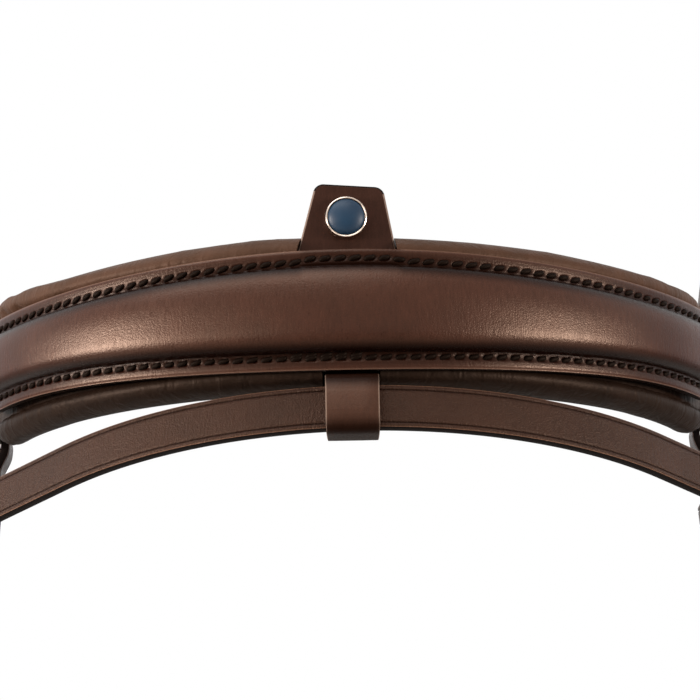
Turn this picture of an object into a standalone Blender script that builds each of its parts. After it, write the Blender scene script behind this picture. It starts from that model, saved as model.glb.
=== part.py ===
"""Bridle noseband: padded raised nosepiece, flash strap, chin strap and two hangers.

Metres, +Z up. The front of the nosepiece faces -Y and the horse's nose lies towards +Y.
The origin is the middle of the flat patch on the padding that rests on the nose.
"""
import math

import bmesh
import bpy
import numpy as np
from mathutils import Matrix, Vector

# Clearances
GAP = 0.0003            # between pieces that touch
PLAY = 0.0004           # beside a strap in its keeper or loop
OVERRUN = 0.004         # how far a cutter runs past the face it cuts

# Nosepiece
NOSE_R = 0.1097         # radius of the seam between front leather and backing
NOSE_ARC = math.radians(74.0)
END_R = 0.050           # radius of the tighter bend before the rings
END_RUN = 0.008         # straight run from that bend to the ring wire
FRONT_HEIGHT = 0.0337   # front leather, middle
FRONT_END_HEIGHT = 0.0267
FRONT_T = 0.0023
FRONT_TO_RING = 0.025645    # from each tip of the front leather to the ring wire
FRONT_NARROWING = 0.118  # distance over which the leather narrows
FRONT_TAPER = 0.014     # length of the tapered tip
FRONT_TIP_HEIGHT = 0.0170
PANEL_BORDER = 0.00475  # flat stitched border beside the raised panel
PANEL_RISE = 0.00375    # how far the panel stands above the border
BACKING_T = 0.0022
BACKING_INSET = 0.0015  # backing's edge behind the front leather's edge
NOSE_END_WIDTH = 0.012  # backing where it folds round the ring
PAD_T = 0.011
PAD_TOP = 0.0220        # padding's top edge above the middle line
PAD_TOP_END = 0.0198
PAD_BOTTOM = 0.0213     # padding's bottom edge below the middle line
PAD_PAST_FRONT = 0.010  # padding runs on past the front leather's tips
PAD_ROUNDING = 0.020    # length of each rounded end
PAD_STATIONS = 31       # odd, so that one flat patch is in the middle
REST_HALF_HEIGHT = 0.008
PAD_ROLL_RISE = 0.0016  # rolls stand this far above the padding's bed
PAD_END_SHARE = 0.5     # what is left of the padding's section at its ends
PAD_BED_SHARE = 0.9
PAD_REST_SHARE = 0.5
PAD_ROLL_SHARES = ((0.0, 0.3), (0.13, 0.74), (0.38, 1.0))
PAD_BACK_SHARES = ((0.62, 0.985), (0.86, 0.8))
FRONT_STEPS = 31
FRONT_OUTER_SHARES = ((1.04, 0.0), (0.98, 0.55), (0.92, 0.86), (0.78, 0.97), (0.4, 1.0))
FRONT_INNER_SHARES = ((0.4, 1.0), (0.62, 0.93), (0.74, 0.66), (0.86, 0.0))
FRONT_TIP_RISE_SHARE = 0.3
FILLER_SHARES = ((0.83, 0.0), (0.70, 0.58), (0.58, 0.82), (0.3, 0.89))
NOSE_PITCH = 0.0074     # spacing of the backing's sections

# Rings
RING_R = 0.015
RING_WIRE = 0.0018

# Flash attachment
LEAF_T = 0.0020
LEAF_DEPTH = 0.0037     # seam to the front of the front leaf, at the middle
TAB_BASE = 0.0272
TAB_TOP = 0.0182
TAB_CREASE_Z = 0.0173
TAB_TOP_Z = 0.0364
TAB_CORNER = 0.0018
LOOP_WIDTH = 0.0146
LOOP_SHIFT = 0.0008     # the loop hangs slightly to the right of the tab
LOOP_PLAY = 0.0005
LOOP_BEND = 0.0018
POCKET_TOP = 0.0030     # above the crease, where the back tab starts to stand off
POCKET_SPREAD = 0.0019  # how far it stands off for the press stud
STUD_Z = 0.0268
BEZEL_D = 0.0117
BEZEL_H = 0.0024
BEZEL_RIM = 0.0009
GLASS_DOME = 0.0023
STUD_POST_D = 0.0030
SOCKET_D = 0.0080
SOCKET_T = 0.0016
BALL_D = 0.0036
STUD_BASE_T = 0.0008

# Flash strap
FLASH_WIDTH = 0.0127
FLASH_T = 0.0030
FLASH_FOLD_T = 0.0018
FLASH_R = 0.116
FLASH_ARC = math.radians(46.0)
FLASH_RUN = 0.028       # straight stretch after the arc
FLASH_TILT = math.radians(14.0)
FLASH_DROP = 0.0272     # strap's middle below the nosepiece's middle line
FLASH_PROUD = 0.0004    # strap's mid-thickness outside the seam's radius
FLASH_SHIFT = 0.0035    # apex to the right of the middle
FLASH_BEND_R = 0.045
FLASH_BEND = math.radians(80.0)
FLASH_BUCKLE_RUN = 0.062    # after the bend, buckle side
FLASH_TIP_RUN = 0.140       # after the bend, holed side
FLASH_TURN_BACK = 0.020     # folded end, counted from the hinge bar
FLASH_THINNED = 0.021       # the strap is thinned from here to the bar
FLASH_THINNING = 0.014      # length over which it gets thinner
FLASH_RUNNER_AT = 0.046     # runner, counted from the hinge bar
FLASH_HOLES = 6
FLASH_HOLE_PITCH = 0.018

# Chin strap
CHIN_WIDTH = 0.016
CHIN_END_WIDTH = 0.012
CHIN_T = 0.0022
BILLET_T = 0.0026
CHIN_LEAN = math.radians(5.0)
CHIN_LEG = 0.074
CHIN_CORNER_R = 0.045
CHIN_BOTTOM_R = 0.200
CHIN_BUCKLE_AT = 0.050  # ring wire to the buckle's hinge bar
CHIN_TIP_AT = 0.012
CHIN_HOLES = 6
CHIN_HOLE_PITCH = 0.022
BILLET_RETURN = 0.030
CHIN_RUNNER_AT = 0.0272

# Hangers
HANGER_WIDTH = 0.0127
HANGER_END_WIDTH = 0.010
HANGER_T = 0.0020
HANGER_LEAN = math.radians(9.0)
HANGER_LENGTH = 0.078   # ring wire to the buckle's hinge bar
HANGER_RUNNER_AT = 0.0384

# Buckles, keepers and holes
BAR = 0.0013            # radius of a buckle frame's wire
ROLLER_WALL = 0.0009
PRONG = 0.0010          # radius of a prong's wire
CHIN_BUCKLE_L = 0.020
HANGER_BUCKLE_L = 0.018
FLASH_BUCKLE_L = 0.017
FRAME_CORNER = 0.0026
FRAME_SIDE_PLAY = 0.0008
SLOT_PLAY = 0.0005
PRONG_SWING = math.radians(120.0)   # how far the prong's slot lets it swing back
HOOK_START = math.radians(320.0)    # the prong's hook, round the hinge bar
HOOK_END = math.radians(90.0)
PRONG_SHARES = (0.25, 0.6, 1.0)
KEEPER_WIDTH = 0.007
KEEPER_T = 0.0014
KEEPER_AT = 0.016       # keeper, counted from the hinge bar
BRIDLE_STRAP_T = 0.0032  # thickness of a strap that the open buckles take
HOLE_R = 0.0019
POINT_LENGTH = 0.012
POINT_HALF_WIDTH = 0.0022
SPREAD = 0.007          # length over which two leaves part round a wire

# Counts
ARC_STEPS = 8
FOLD_STEPS = 4
HOOK_STEPS = 10
WIRE_RESOLUTION = 2

# Worked out from the sizes above
NOSE_WIRE = NOSE_R * NOSE_ARC + END_R * (math.pi / 2 - NOSE_ARC) + END_RUN
FRONT_HALF_RUN = NOSE_WIRE - FRONT_TO_RING
PAD_HALF_RUN = FRONT_HALF_RUN + PAD_PAST_FRONT
PAD_STEP = 2 * PAD_HALF_RUN / PAD_STATIONS
PAD_SEAM = BACKING_T + 1.5 * GAP          # seam to the padding's bed
PAD_INNER_R = NOSE_R - PAD_SEAM - PAD_T
NOSE_Y = PAD_INNER_R * math.cos(PAD_STEP / NOSE_R / 2)   # centre of the nosepiece's arc
LEAF_Y = NOSE_Y - NOSE_R + LEAF_DEPTH + LEAF_T / 2       # middle of the front leaf
BACK_LEAF_Y = LEAF_Y + LEAF_T + GAP
FLASH_Y = NOSE_Y - NOSE_R - FLASH_PROUD
FLASH_BEND_AT = FLASH_R * FLASH_ARC + FLASH_RUN
FRONT_STATIONS = [FRONT_HALF_RUN * (2 * k / FRONT_STEPS - 1) for k in range(FRONT_STEPS + 1)]


class Track:
    """A flat path of straight stretches and arcs, read at any distance along it."""

    def __init__(self, start, heading, segments):
        self.start, self.heading, self.segments = start, heading, segments
        self.length = sum(length for length, _ in segments)

    def at(self, distance):
        """Return x, y and heading at a distance; past the ends the path runs straight."""
        x, y = self.start
        heading = self.heading
        left = distance
        if left < 0:
            return x + left * math.cos(heading), y + left * math.sin(heading), heading
        for length, curvature in self.segments:
            run = min(left, length)
            if curvature:
                after = heading + curvature * run
                x += (math.sin(after) - math.sin(heading)) / curvature
                y += (math.cos(heading) - math.cos(after)) / curvature
                heading = after
            else:
                x += run * math.cos(heading)
                y += run * math.sin(heading)
            left -= run
            if left <= 0:
                return x, y, heading
        return x + left * math.cos(heading), y + left * math.sin(heading), heading


NOSE_TRACK = Track((0.0, NOSE_Y - NOSE_R), 0.0,
                   [(NOSE_R * NOSE_ARC, 1 / NOSE_R),
                    (END_R * (math.pi / 2 - NOSE_ARC), 1 / END_R), (END_RUN, 0.0)])
WIRE_X, WIRE_Y, _ = NOSE_TRACK.at(NOSE_WIRE)
RING_Y = WIRE_Y + RING_R


def nose(u, v, w):
    """Place a point u along the nosepiece, v out from its seam and w above its middle."""
    x, y, heading = NOSE_TRACK.at(abs(u))
    side = math.copysign(1.0, u)
    return Vector((side * (x + v * math.sin(heading)), y - v * math.cos(heading), w))


CHIN_CORNER_X = WIRE_X + CHIN_LEG * math.sin(CHIN_LEAN) - CHIN_CORNER_R * math.cos(CHIN_LEAN)
CHIN_TURN = math.acos(CHIN_CORNER_X / (CHIN_BOTTOM_R - CHIN_CORNER_R))
CHIN_CORNER = CHIN_CORNER_R * (CHIN_TURN + CHIN_LEAN)
CHIN_TRACK = Track((WIRE_X, -RING_R), CHIN_LEAN - math.pi / 2,
                   [(CHIN_LEG, 0.0), (CHIN_CORNER, -1 / CHIN_CORNER_R),
                    (CHIN_BOTTOM_R * (math.pi - 2 * CHIN_TURN), -1 / CHIN_BOTTOM_R),
                    (CHIN_CORNER, -1 / CHIN_CORNER_R), (CHIN_LEG, 0.0)])


def chin(u, v, w):
    """Place a point u along the chin strap from the right ring, v out from it, w along Y."""
    x, z, heading = CHIN_TRACK.at(u)
    return Vector((x - v * math.sin(heading), RING_Y + w, z + v * math.cos(heading)))


def hanger(side):
    """Return the placing function of the hanger on the side given as 1 or -1."""
    def place(u, v, w):
        x = WIRE_X + u * math.sin(HANGER_LEAN) + v * math.cos(HANGER_LEAN)
        z = RING_R + u * math.cos(HANGER_LEAN) - v * math.sin(HANGER_LEAN)
        return Vector((side * x, RING_Y + w, z))
    return place


FLASH_TRACK = Track((0.0, 0.0), 0.0, [(FLASH_R * FLASH_ARC, 1 / FLASH_R), (FLASH_RUN, 0.0)])
FLASH_BACK = Vector((0.0, math.cos(FLASH_TILT), -math.sin(FLASH_TILT)))
FLASH_UP = Vector((0.0, math.sin(FLASH_TILT), math.cos(FLASH_TILT)))
FLASH_APEX = Vector((FLASH_SHIFT, FLASH_Y, -FLASH_DROP))


def flash(u, v, w):
    """Place a point u along the flash strap from its apex, v out from it, w across it."""
    side = math.copysign(1.0, u)
    distance = abs(u)
    x, y, heading = FLASH_TRACK.at(min(distance, FLASH_BEND_AT))
    along = Vector((math.cos(heading), 0.0, 0.0)) + FLASH_BACK * math.sin(heading)
    out = Vector((math.sin(heading), 0.0, 0.0)) - FLASH_BACK * math.cos(heading)
    point = Vector((x, 0.0, 0.0)) + FLASH_BACK * y
    up = FLASH_UP
    past = distance - FLASH_BEND_AT
    if past > 0:
        turn = min(past / FLASH_BEND_R, FLASH_BEND)
        ahead = along * math.cos(turn) - up * math.sin(turn)
        point = point + FLASH_BEND_R * (along * math.sin(turn) - up * (1 - math.cos(turn)))
        point = point + ahead * (past - turn * FLASH_BEND_R)
        up = up * math.cos(turn) + along * math.sin(turn)
    point = point + out * v + up * w
    return FLASH_APEX + Vector((side * point.x, point.y, point.z))


# Scene helpers

def new_collection(name):
    collection = bpy.data.collections.new(name)
    bpy.context.scene.collection.children.link(collection)
    return collection


def material(name, colour, roughness, metallic=0.0):
    """Return a plain material, made once for each name."""
    found = bpy.data.materials.get(name)
    if found:
        return found
    made = bpy.data.materials.new(name)
    made.use_nodes = True
    shader = made.node_tree.nodes["Principled BSDF"]
    shader.inputs["Base Color"].default_value = (*colour, 1.0)
    shader.inputs["Roughness"].default_value = roughness
    shader.inputs["Metallic"].default_value = metallic
    return made


def leather(name):
    return material(name + "_leather", (0.085, 0.048, 0.034), 0.5)


def steel(name):
    return material(name + "_steel", (0.72, 0.70, 0.67), 0.22, 1.0)


def add(name, data, finish, parent=None, cutter=False):
    """Put a mesh or curve in the scene under its name and give it its material."""
    thing = bpy.data.objects.new(name, data)
    (CUTTERS if cutter else PARTS).objects.link(thing)
    if cutter:
        thing.hide_render = True
        thing.display_type = "WIRE"
    else:
        data.materials.append(finish)
    if parent:
        thing.parent = parent
        thing.matrix_parent_inverse = parent.matrix_world.inverted()
    return thing


def pivot(name, location):
    """Add an empty on a joint's axis, to carry the pieces that turn about it."""
    empty = bpy.data.objects.new(name, None)
    empty.location = location
    PARTS.objects.link(empty)
    bpy.context.view_layer.update()
    return empty


def loft(name, rings, finish, parent=None, joined=False):
    """Join rings of points into one solid: capped at its ends, or joined from last to first."""
    shape = bmesh.new()
    rows = [[shape.verts.new(point) for point in ring] for ring in rings]
    count = len(rows[0])
    pairs = list(zip(rows, rows[1:]))
    if joined:
        pairs.append((rows[-1], rows[0]))
    else:
        shape.faces.new(rows[0][::-1])
        shape.faces.new(rows[-1])
    for before, after in pairs:
        for i in range(count):
            j = (i + 1) % count
            shape.faces.new((before[i], before[j], after[j], after[i]))
    return finished(name, shape, finish, parent)


def finished(name, shape, finish, parent=None, cutter=False):
    """Turn a bmesh into an object, with its faces pointing out."""
    bmesh.ops.recalc_face_normals(shape, faces=shape.faces)
    mesh = bpy.data.meshes.new(name)
    shape.to_mesh(mesh)
    shape.free()
    return add(name, mesh, finish, parent, cutter)


def sweep(name, place, line, thickness, half_width, finish, parent=None):
    """Sweep a flat strap along a line of (u, v) points; thickness and half width depend on u."""
    rings = []
    for i, (u, v) in enumerate(line):
        before, after = line[max(i - 1, 0)], line[min(i + 1, len(line) - 1)]
        du, dv = after[0] - before[0], after[1] - before[1]
        size = math.hypot(du, dv)
        du, dv = du / size, dv / size
        t, b = thickness(u) / 2, half_width(u)
        rings.append([place(u - dv * t, v + du * t, b), place(u - dv * t, v + du * t, -b),
                      place(u + dv * t, v - du * t, -b), place(u + dv * t, v - du * t, b)])
    return loft(name, rings, finish, parent)


def ease(start, end, share):
    """Blend between two values along a smooth step."""
    share = min(max(share, 0.0), 1.0)
    return start + (end - start) * (1 - math.cos(math.pi * share)) / 2


def run(start, end, pitch):
    """Return values from start to end, both kept, spaced about pitch apart."""
    count = max(2, int(abs(end - start) / pitch) + 1)
    return list(np.linspace(start, end, count))


def fold(wire_at, direction, leaf_v, bulge, stretch=0.0):
    """Return the (u, v) points of a strap that folds round a wire.

    It comes along the leaf at leaf_v, parts from the other leaf over SPREAD, passes the wire
    at the distance bulge, turns past it on its far side and comes back at minus leaf_v.
    """
    side = math.copysign(1.0, leaf_v)
    leaf = []
    for k in range(FOLD_STEPS + 1):
        share = k / FOLD_STEPS
        leaf.append((wire_at - direction * SPREAD * (1 - share), side * ease(abs(leaf_v), bulge, share)))
    arc = []
    for k in range(ARC_STEPS + 1):
        angle = math.pi * k / ARC_STEPS
        arc.append((wire_at + direction * (stretch + bulge * math.sin(angle)),
                    side * bulge * math.cos(angle)))
    line = leaf + arc + [(u, -v) for u, v in leaf[::-1]]
    return [line[0]] + [b for a, b in zip(line, line[1:]) if math.dist(a, b) > GAP / 2]


def rounded(points, radius, steps=3):
    """Return a run of points with each inner corner turned into an arc."""
    made = [points[0]]
    for before, corner, after in zip(points, points[1:], points[2:]):
        before, corner, after = Vector(before), Vector(corner), Vector(after)
        a, b = (before - corner).normalized(), (after - corner).normalized()
        half = a.angle(b) / 2
        cut = radius / math.tan(half)
        centre = corner + (a + b).normalized() * radius / math.sin(half)
        first, last = corner + a * cut - centre, corner + b * cut - centre
        turn = first.angle(last)
        for k in range(steps + 1):
            share = k / steps
            mixed = first * math.sin((1 - share) * turn) + last * math.sin(share * turn)
            made.append(tuple(centre + mixed / math.sin(turn)))
    made.append(points[-1])
    return made


def rounded_loop(corners, radius):
    """Return a closed run of points with all its corners turned into arcs."""
    return rounded([corners[-1]] + corners + [corners[0]], radius)[1:-1]


def stepped(points, pitch):
    """Return a run of points with the longer stretches divided into steps."""
    made = [points[0]]
    for before, after in zip(points, points[1:]):
        count = max(1, math.ceil(math.dist(before, after) / pitch))
        made += [tuple(a + (b - a) * k / count for a, b in zip(before, after))
                 for k in range(1, count + 1)]
    return made


def tube(name, points, radius, closed, finish, parent=None):
    """Make a round wire through a list of points."""
    curve = bpy.data.curves.new(name, "CURVE")
    curve.dimensions = "3D"
    curve.bevel_depth = radius
    curve.bevel_resolution = WIRE_RESOLUTION
    curve.use_fill_caps = not closed
    spline = curve.splines.new("POLY")
    spline.points.add(len(points) - 1)
    for target, point in zip(spline.points, points):
        target.co = (*point, 1.0)
    spline.use_cyclic_u = closed
    return add(name, curve, finish, parent)


def flat(name, outlines, thickness, matrix, finish, parent=None, cutter=False):
    """Make a flat piece from its outline, and any holes, drawn in the plane of the matrix."""
    curve = bpy.data.curves.new(name, "CURVE")
    curve.dimensions = "2D"
    curve.fill_mode = "BOTH"
    curve.extrude = thickness / 2
    for outline in outlines:
        spline = curve.splines.new("POLY")
        spline.points.add(len(outline) - 1)
        for target, point in zip(spline.points, outline):
            target.co = (point[0], point[1], 0.0, 1.0)
        spline.use_cyclic_u = True
    thing = add(name, curve, finish, None, cutter)
    thing.matrix_world = matrix
    bpy.context.view_layer.update()
    if parent:
        thing.parent = parent
        thing.matrix_parent_inverse = parent.matrix_world.inverted()
    return thing


def as_mesh(thing, finish):
    """Turn a curve object into a mesh object of the same name and place."""
    view = bpy.context.evaluated_depsgraph_get()
    mesh = bpy.data.meshes.new_from_object(thing.evaluated_get(view))
    name, place, group = thing.name, thing.matrix_world.copy(), thing.users_collection[0]
    shape = bmesh.new()
    shape.from_mesh(mesh)
    bmesh.ops.remove_doubles(shape, verts=shape.verts, dist=1e-6)
    bmesh.ops.recalc_face_normals(shape, faces=shape.faces)
    shape.to_mesh(mesh)
    shape.free()
    bpy.data.objects.remove(thing)
    made = add(name, mesh, finish, None, group == CUTTERS)
    made.matrix_world = place
    return made


def circle(radius, centre=(0.0, 0.0), steps=16):
    """Return the points of a circle."""
    return [(centre[0] + radius * math.cos(math.tau * k / steps),
             centre[1] + radius * math.sin(math.tau * k / steps)) for k in range(steps)]


def turned(name, profile, matrix, finish, parent=None, steps=20):
    """Turn a profile of (radius, height), outer side top to bottom, about the matrix's Z axis."""
    mesh = bpy.data.meshes.new(name)
    closed = profile[0][0] > 0
    edges = [(i, i + 1) for i in range(len(profile) - 1)]
    if closed:
        edges.append((len(profile) - 1, 0))
    mesh.from_pydata([(r, 0.0, h) for r, h in profile], edges, [])
    thing = add(name, mesh, finish)
    thing.matrix_world = matrix
    screw = thing.modifiers.new("Turn", "SCREW")
    screw.steps = screw.render_steps = steps
    screw.use_merge_vertices = True
    screw.merge_threshold = 1e-5
    bpy.context.view_layer.update()
    if parent:
        thing.parent = parent
        thing.matrix_parent_inverse = parent.matrix_world.inverted()
    return thing


def frame_at(place, u, v=0.0):
    """Return a right-handed matrix at a place: X along the strap, Z across it."""
    origin = place(u, v, 0.0)
    step = GAP
    along = (place(u + step, v, 0.0) - place(u - step, v, 0.0)).normalized()
    across = (place(u, v, step) - place(u, v, -step)).normalized()
    out = across.cross(along)
    return Matrix.Translation(origin) @ Matrix((along, out, across)).transposed().to_4x4()


def bore(name, radius, depth, matrices, target):
    """Cut round holes along the Z axes of the matrices, which sit at the holes' middles."""
    shape = bmesh.new()
    for matrix in matrices:
        bmesh.ops.create_cone(shape, cap_ends=True, segments=12, radius1=radius, radius2=radius,
                              depth=depth, matrix=matrix)
    cut(target, finished(name, shape, None, None, True))


def through(place, u, v=0.0):
    """Return a matrix at a place on a strap whose Z axis runs through its thickness."""
    return frame_at(place, u, v) @ Matrix.Rotation(math.pi / 2, 4, "X")


def block(name, low, high, matrix, target):
    """Cut a box, given by two corners in the matrix's frame, out of a piece."""
    shape = bmesh.new()
    bmesh.ops.create_cube(shape, size=1.0)
    size = [b - a for a, b in zip(low, high)]
    middle = Vector([(a + b) / 2 for a, b in zip(low, high)])
    bmesh.ops.transform(shape, verts=shape.verts,
                        matrix=matrix @ Matrix.Translation(middle) @ Matrix.Diagonal((*size, 1.0)))
    cut(target, finished(name, shape, None, None, True))


def cut(target, cutter):
    change = target.modifiers.new("Cut", "BOOLEAN")
    change.operation = "DIFFERENCE"
    change.solver = "EXACT"
    change.object = cutter


# Buckle parts, shared by the chin strap, the flash strap and the hangers

def leaf_offset(leaf_t):
    """Distance from the middle of two leaves to the middle of one of them."""
    return (leaf_t + GAP) / 2


def bulge_over(wire, leaf_t):
    """Distance from a wire's centre to the middle of the leather that folds round it."""
    return wire + GAP + leaf_t / 2


def ring_stretch(width):
    """How much longer a fold is made because the ring curves away across its width."""
    inside = RING_R - RING_WIRE
    return inside - math.sqrt(inside ** 2 - (width / 2) ** 2)


ROLLER_R = BAR + GAP + ROLLER_WALL
HOOK_R = BAR + GAP + PRONG
PRONG_REST = ROLLER_R + GAP + PRONG


def buckle(prefix, place, bar_at, length, strap_width, parent, prong_pivot, roller_pivot):
    """Build a roller buckle whose hinge bar is bar_at along the strap."""
    half = strap_width / 2 + FRAME_SIDE_PLAY + BAR
    corners = [(0.0, -half, 0.0), (0.0, half, 0.0), (length, half, 0.0), (length, -half, 0.0)]
    loop = rounded_loop(corners, FRAME_CORNER)
    tube(prefix + "_buckle", [place(bar_at + u, 0.0, w) for u, w, _ in loop], BAR, True,
         steel("buckle"), parent)
    roller_half = half - FRAME_CORNER - BAR / 2
    turned(prefix + "_roller", [(ROLLER_R, roller_half), (ROLLER_R, -roller_half),
                                (BAR + GAP, -roller_half), (BAR + GAP, roller_half)],
           frame_at(place, bar_at + length), steel("roller"), roller_pivot, 16)
    hook = [(HOOK_R * math.cos(a), HOOK_R * math.sin(a))
            for a in np.linspace(HOOK_START, HOOK_END, HOOK_STEPS + 1)]
    shaft = [(length * share, ease(HOOK_R, PRONG_REST, share)) for share in PRONG_SHARES]
    tip = (length + ROLLER_R * 0.8, PRONG_REST - PRONG * 0.3)
    tube(prefix + "_prong", [place(bar_at + u, v, 0.0) for u, v in hook + shaft + [tip]], PRONG,
         False, steel("prong"), prong_pivot)


def prong_slot(prefix, place, bar_at, leaf_t, target):
    """Cut the slot that lets the prong's hook through the fold."""
    reach = bulge_over(BAR, leaf_t) + leaf_t
    half, lean = PRONG + SLOT_PLAY, PRONG_SWING - math.pi / 2
    back = (HOOK_R + PRONG) / math.cos(lean) + (reach - leaf_t / 2) * math.tan(lean) + SLOT_PLAY
    block(prefix + "_slot", (-back, -reach - OVERRUN, -half),
          (reach + OVERRUN, reach + OVERRUN, half), frame_at(place, bar_at), target)


def keeper(name, place, at, strap_width, low, high, parent):
    """Build a leather band round a strap, whose bore runs from low to high across the leaves."""
    half, t = strap_width / 2 + PLAY, KEEPER_T
    start, end = at - KEEPER_WIDTH / 2, at + KEEPER_WIDTH / 2
    rings = []
    for w, v, w_out, v_out in ((-half, low, -t, -t), (half, low, t, -t),
                               (half, high, t, t), (-half, high, -t, t)):
        rings.append([place(start, v, w), place(end, v, w),
                      place(end, v + v_out, w + w_out), place(start, v + v_out, w + w_out)])
    return loft(name, rings, leather("keeper"), parent, True)


# Nosepiece

def front_half(u):
    """Half height of the front leather at a distance from the middle."""
    u = abs(u)
    share = min(u / FRONT_NARROWING, 1.0)
    half = ease(FRONT_HEIGHT / 2, FRONT_END_HEIGHT / 2, share)
    past = (u - (FRONT_HALF_RUN - FRONT_TAPER)) / FRONT_TAPER
    if past > 0:
        drop = 1 - math.sqrt(max(0.0, 1 - min(past, 1.0) ** 2))
        half -= (FRONT_END_HEIGHT - FRONT_TIP_HEIGHT) / 2 * drop
    return half


def backing_half(u):
    """Half height of the backing, which narrows to fold round the ring."""
    u = abs(u)
    start = FRONT_HALF_RUN - FRONT_TAPER
    wide = front_half(min(u, start)) - BACKING_INSET
    return ease(wide, NOSE_END_WIDTH / 2, (u - start) / (NOSE_WIRE - SPREAD - start))


def panel_rise(u):
    """Share of its full rise that the raised panel has at a distance from the middle."""
    start = FRONT_HALF_RUN - FRONT_TAPER
    return ease(1.0, FRONT_TIP_RISE_SHARE, (abs(u) - start) / FRONT_TAPER)


def build_front():
    rings = []
    for u in FRONT_STATIONS:
        half, rise = front_half(u), PANEL_RISE * panel_rise(u)
        panel = half - PANEL_BORDER
        border = GAP / 2 + FRONT_T
        upper = [(GAP / 2, half), (border - BACKING_T / 4, half), (border, half - BACKING_T / 4)]
        upper += [(border + rise * up, panel * share) for share, up in FRONT_OUTER_SHARES]
        lower = [(GAP / 2 + rise * up, panel * share) for share, up in FRONT_INNER_SHARES]
        section = upper + [(v, -w) for v, w in upper[::-1]]
        section += [(v, -w) for v, w in lower[::-1]] + lower
        rings.append([nose(u, v, w) for v, w in section])
    loft("nose_leather", rings, leather("nose"))


def build_filler():
    rings = []
    for u in FRONT_STATIONS:
        if abs(u) > FRONT_HALF_RUN - FRONT_TAPER:
            continue
        panel = front_half(u) - PANEL_BORDER
        half = [(GAP / 2 + PANEL_RISE * up, panel * share) for share, up in FILLER_SHARES]
        rings.append([nose(u, v, w) for v, w in half + [(v, -w) for v, w in half[::-1]]])
    loft("nose_filler", rings, material("filler_cork", (0.35, 0.22, 0.12), 0.8))


def build_backing():
    """Make the backing, which folds round both rings and ends behind the front leather's tips."""
    leaf = leaf_offset(BACKING_T)
    right = [(u, -leaf) for u in run(0.0, NOSE_WIRE - SPREAD, NOSE_PITCH)[:-1]]
    right += fold(NOSE_WIRE, 1, -leaf, bulge_over(RING_WIRE, BACKING_T), ring_stretch(NOSE_END_WIDTH))
    right.append((FRONT_HALF_RUN + GAP, leaf))
    line = [(-u, v) for u, v in right[:0:-1]] + right
    sweep("nose_backing", nose, line, lambda u: BACKING_T, backing_half, leather("backing"))


def pad_section(u):
    """Return the padding's outline at a distance from the middle, as (v, w) points."""
    bed = backing_half(u) + PLAY
    blend = min(abs(u) / FRONT_NARROWING, 1.0)
    top, bottom = ease(PAD_TOP, PAD_TOP_END, blend), PAD_BOTTOM
    past = max(0.0, (abs(u) - (PAD_HALF_RUN - PAD_ROUNDING)) / PAD_ROUNDING)
    shrink = PAD_END_SHARE + (1 - PAD_END_SHARE) * math.sqrt(max(0.0, 1 - past ** 2))
    bed_v, deep = -PAD_SEAM, -PAD_SEAM - PAD_T * shrink
    points = []
    for edge, sign in ((top * shrink, 1), (bottom * shrink, -1)):
        bed_w = min(bed, edge * PAD_BED_SHARE)
        roll = bed_v + min(PAD_ROLL_RISE, max(0.0, edge - bed))
        thick = roll - deep
        side = [(bed_v, bed_w)]
        side += [(roll - thick * down, bed_w + (edge - bed_w) * out) for down, out in PAD_ROLL_SHARES]
        side += [(roll - thick * down, edge * out) for down, out in PAD_BACK_SHARES]
        side.append((deep, min(REST_HALF_HEIGHT, edge * PAD_REST_SHARE)))
        side = [(v, sign * w) for v, w in side]
        points += side if sign > 0 else side[::-1]
    return points


def build_padding():
    """Make the cushion and cut the pocket that the flash attachment passes through."""
    rings = []
    for k in range(PAD_STATIONS + 1):
        u = -PAD_HALF_RUN + k * PAD_STEP
        rings.append([nose(u, v, w) for v, w in pad_section(u)])
    pad = loft("nose_padding", rings, material("padding_nappa", (0.05, 0.034, 0.024), 0.45))
    wide, narrow = TAB_BASE / 2 + PLAY, LOOP_WIDTH / 2 + PLAY
    low, high = -PAD_BOTTOM - OVERRUN, PAD_TOP + OVERRUN
    outline = [(wide, high), (wide, TAB_CREASE_Z / 2), (narrow + LOOP_SHIFT, -TAB_CREASE_Z / 2),
               (narrow + LOOP_SHIFT, low), (LOOP_SHIFT - narrow, low),
               (-narrow, -TAB_CREASE_Z / 2), (-wide, TAB_CREASE_Z / 2), (-wide, high)]
    front = NOSE_Y - NOSE_R - OVERRUN
    floor = BACK_LEAF_Y + LEAF_T / 2 + GAP
    upright = Matrix.Rotation(math.pi / 2, 4, "X")
    pocket = flat("pocket_cutter", [outline], floor - front,
                  Matrix.Translation((0.0, (front + floor) / 2, 0.0)) @ upright, None, None, True)
    cut(pad, as_mesh(pocket, None))
    block("tab_recess", (-wide, front, TAB_CREASE_Z + POCKET_TOP - LEAF_T / 2),
          (wide, floor + POCKET_SPREAD, high),
          Matrix.Identity(4), pad)


def build_ring(side):
    """Make one ring; both its straps and the nosepiece turn about its axis."""
    name = "ring_right" if side > 0 else "ring_left"
    bpy.ops.mesh.primitive_torus_add(major_radius=RING_R, minor_radius=RING_WIRE, major_segments=32,
                                     minor_segments=8, location=(side * WIRE_X, RING_Y, 0.0),
                                     rotation=(0.0, math.pi / 2, 0.0))
    ring = bpy.context.object
    ring.name = ring.data.name = name
    for collection in list(ring.users_collection):
        collection.objects.unlink(ring)
    PARTS.objects.link(ring)
    ring.data.materials.append(steel("ring"))
    ring.data.shade_smooth()


# Flash attachment

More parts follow.
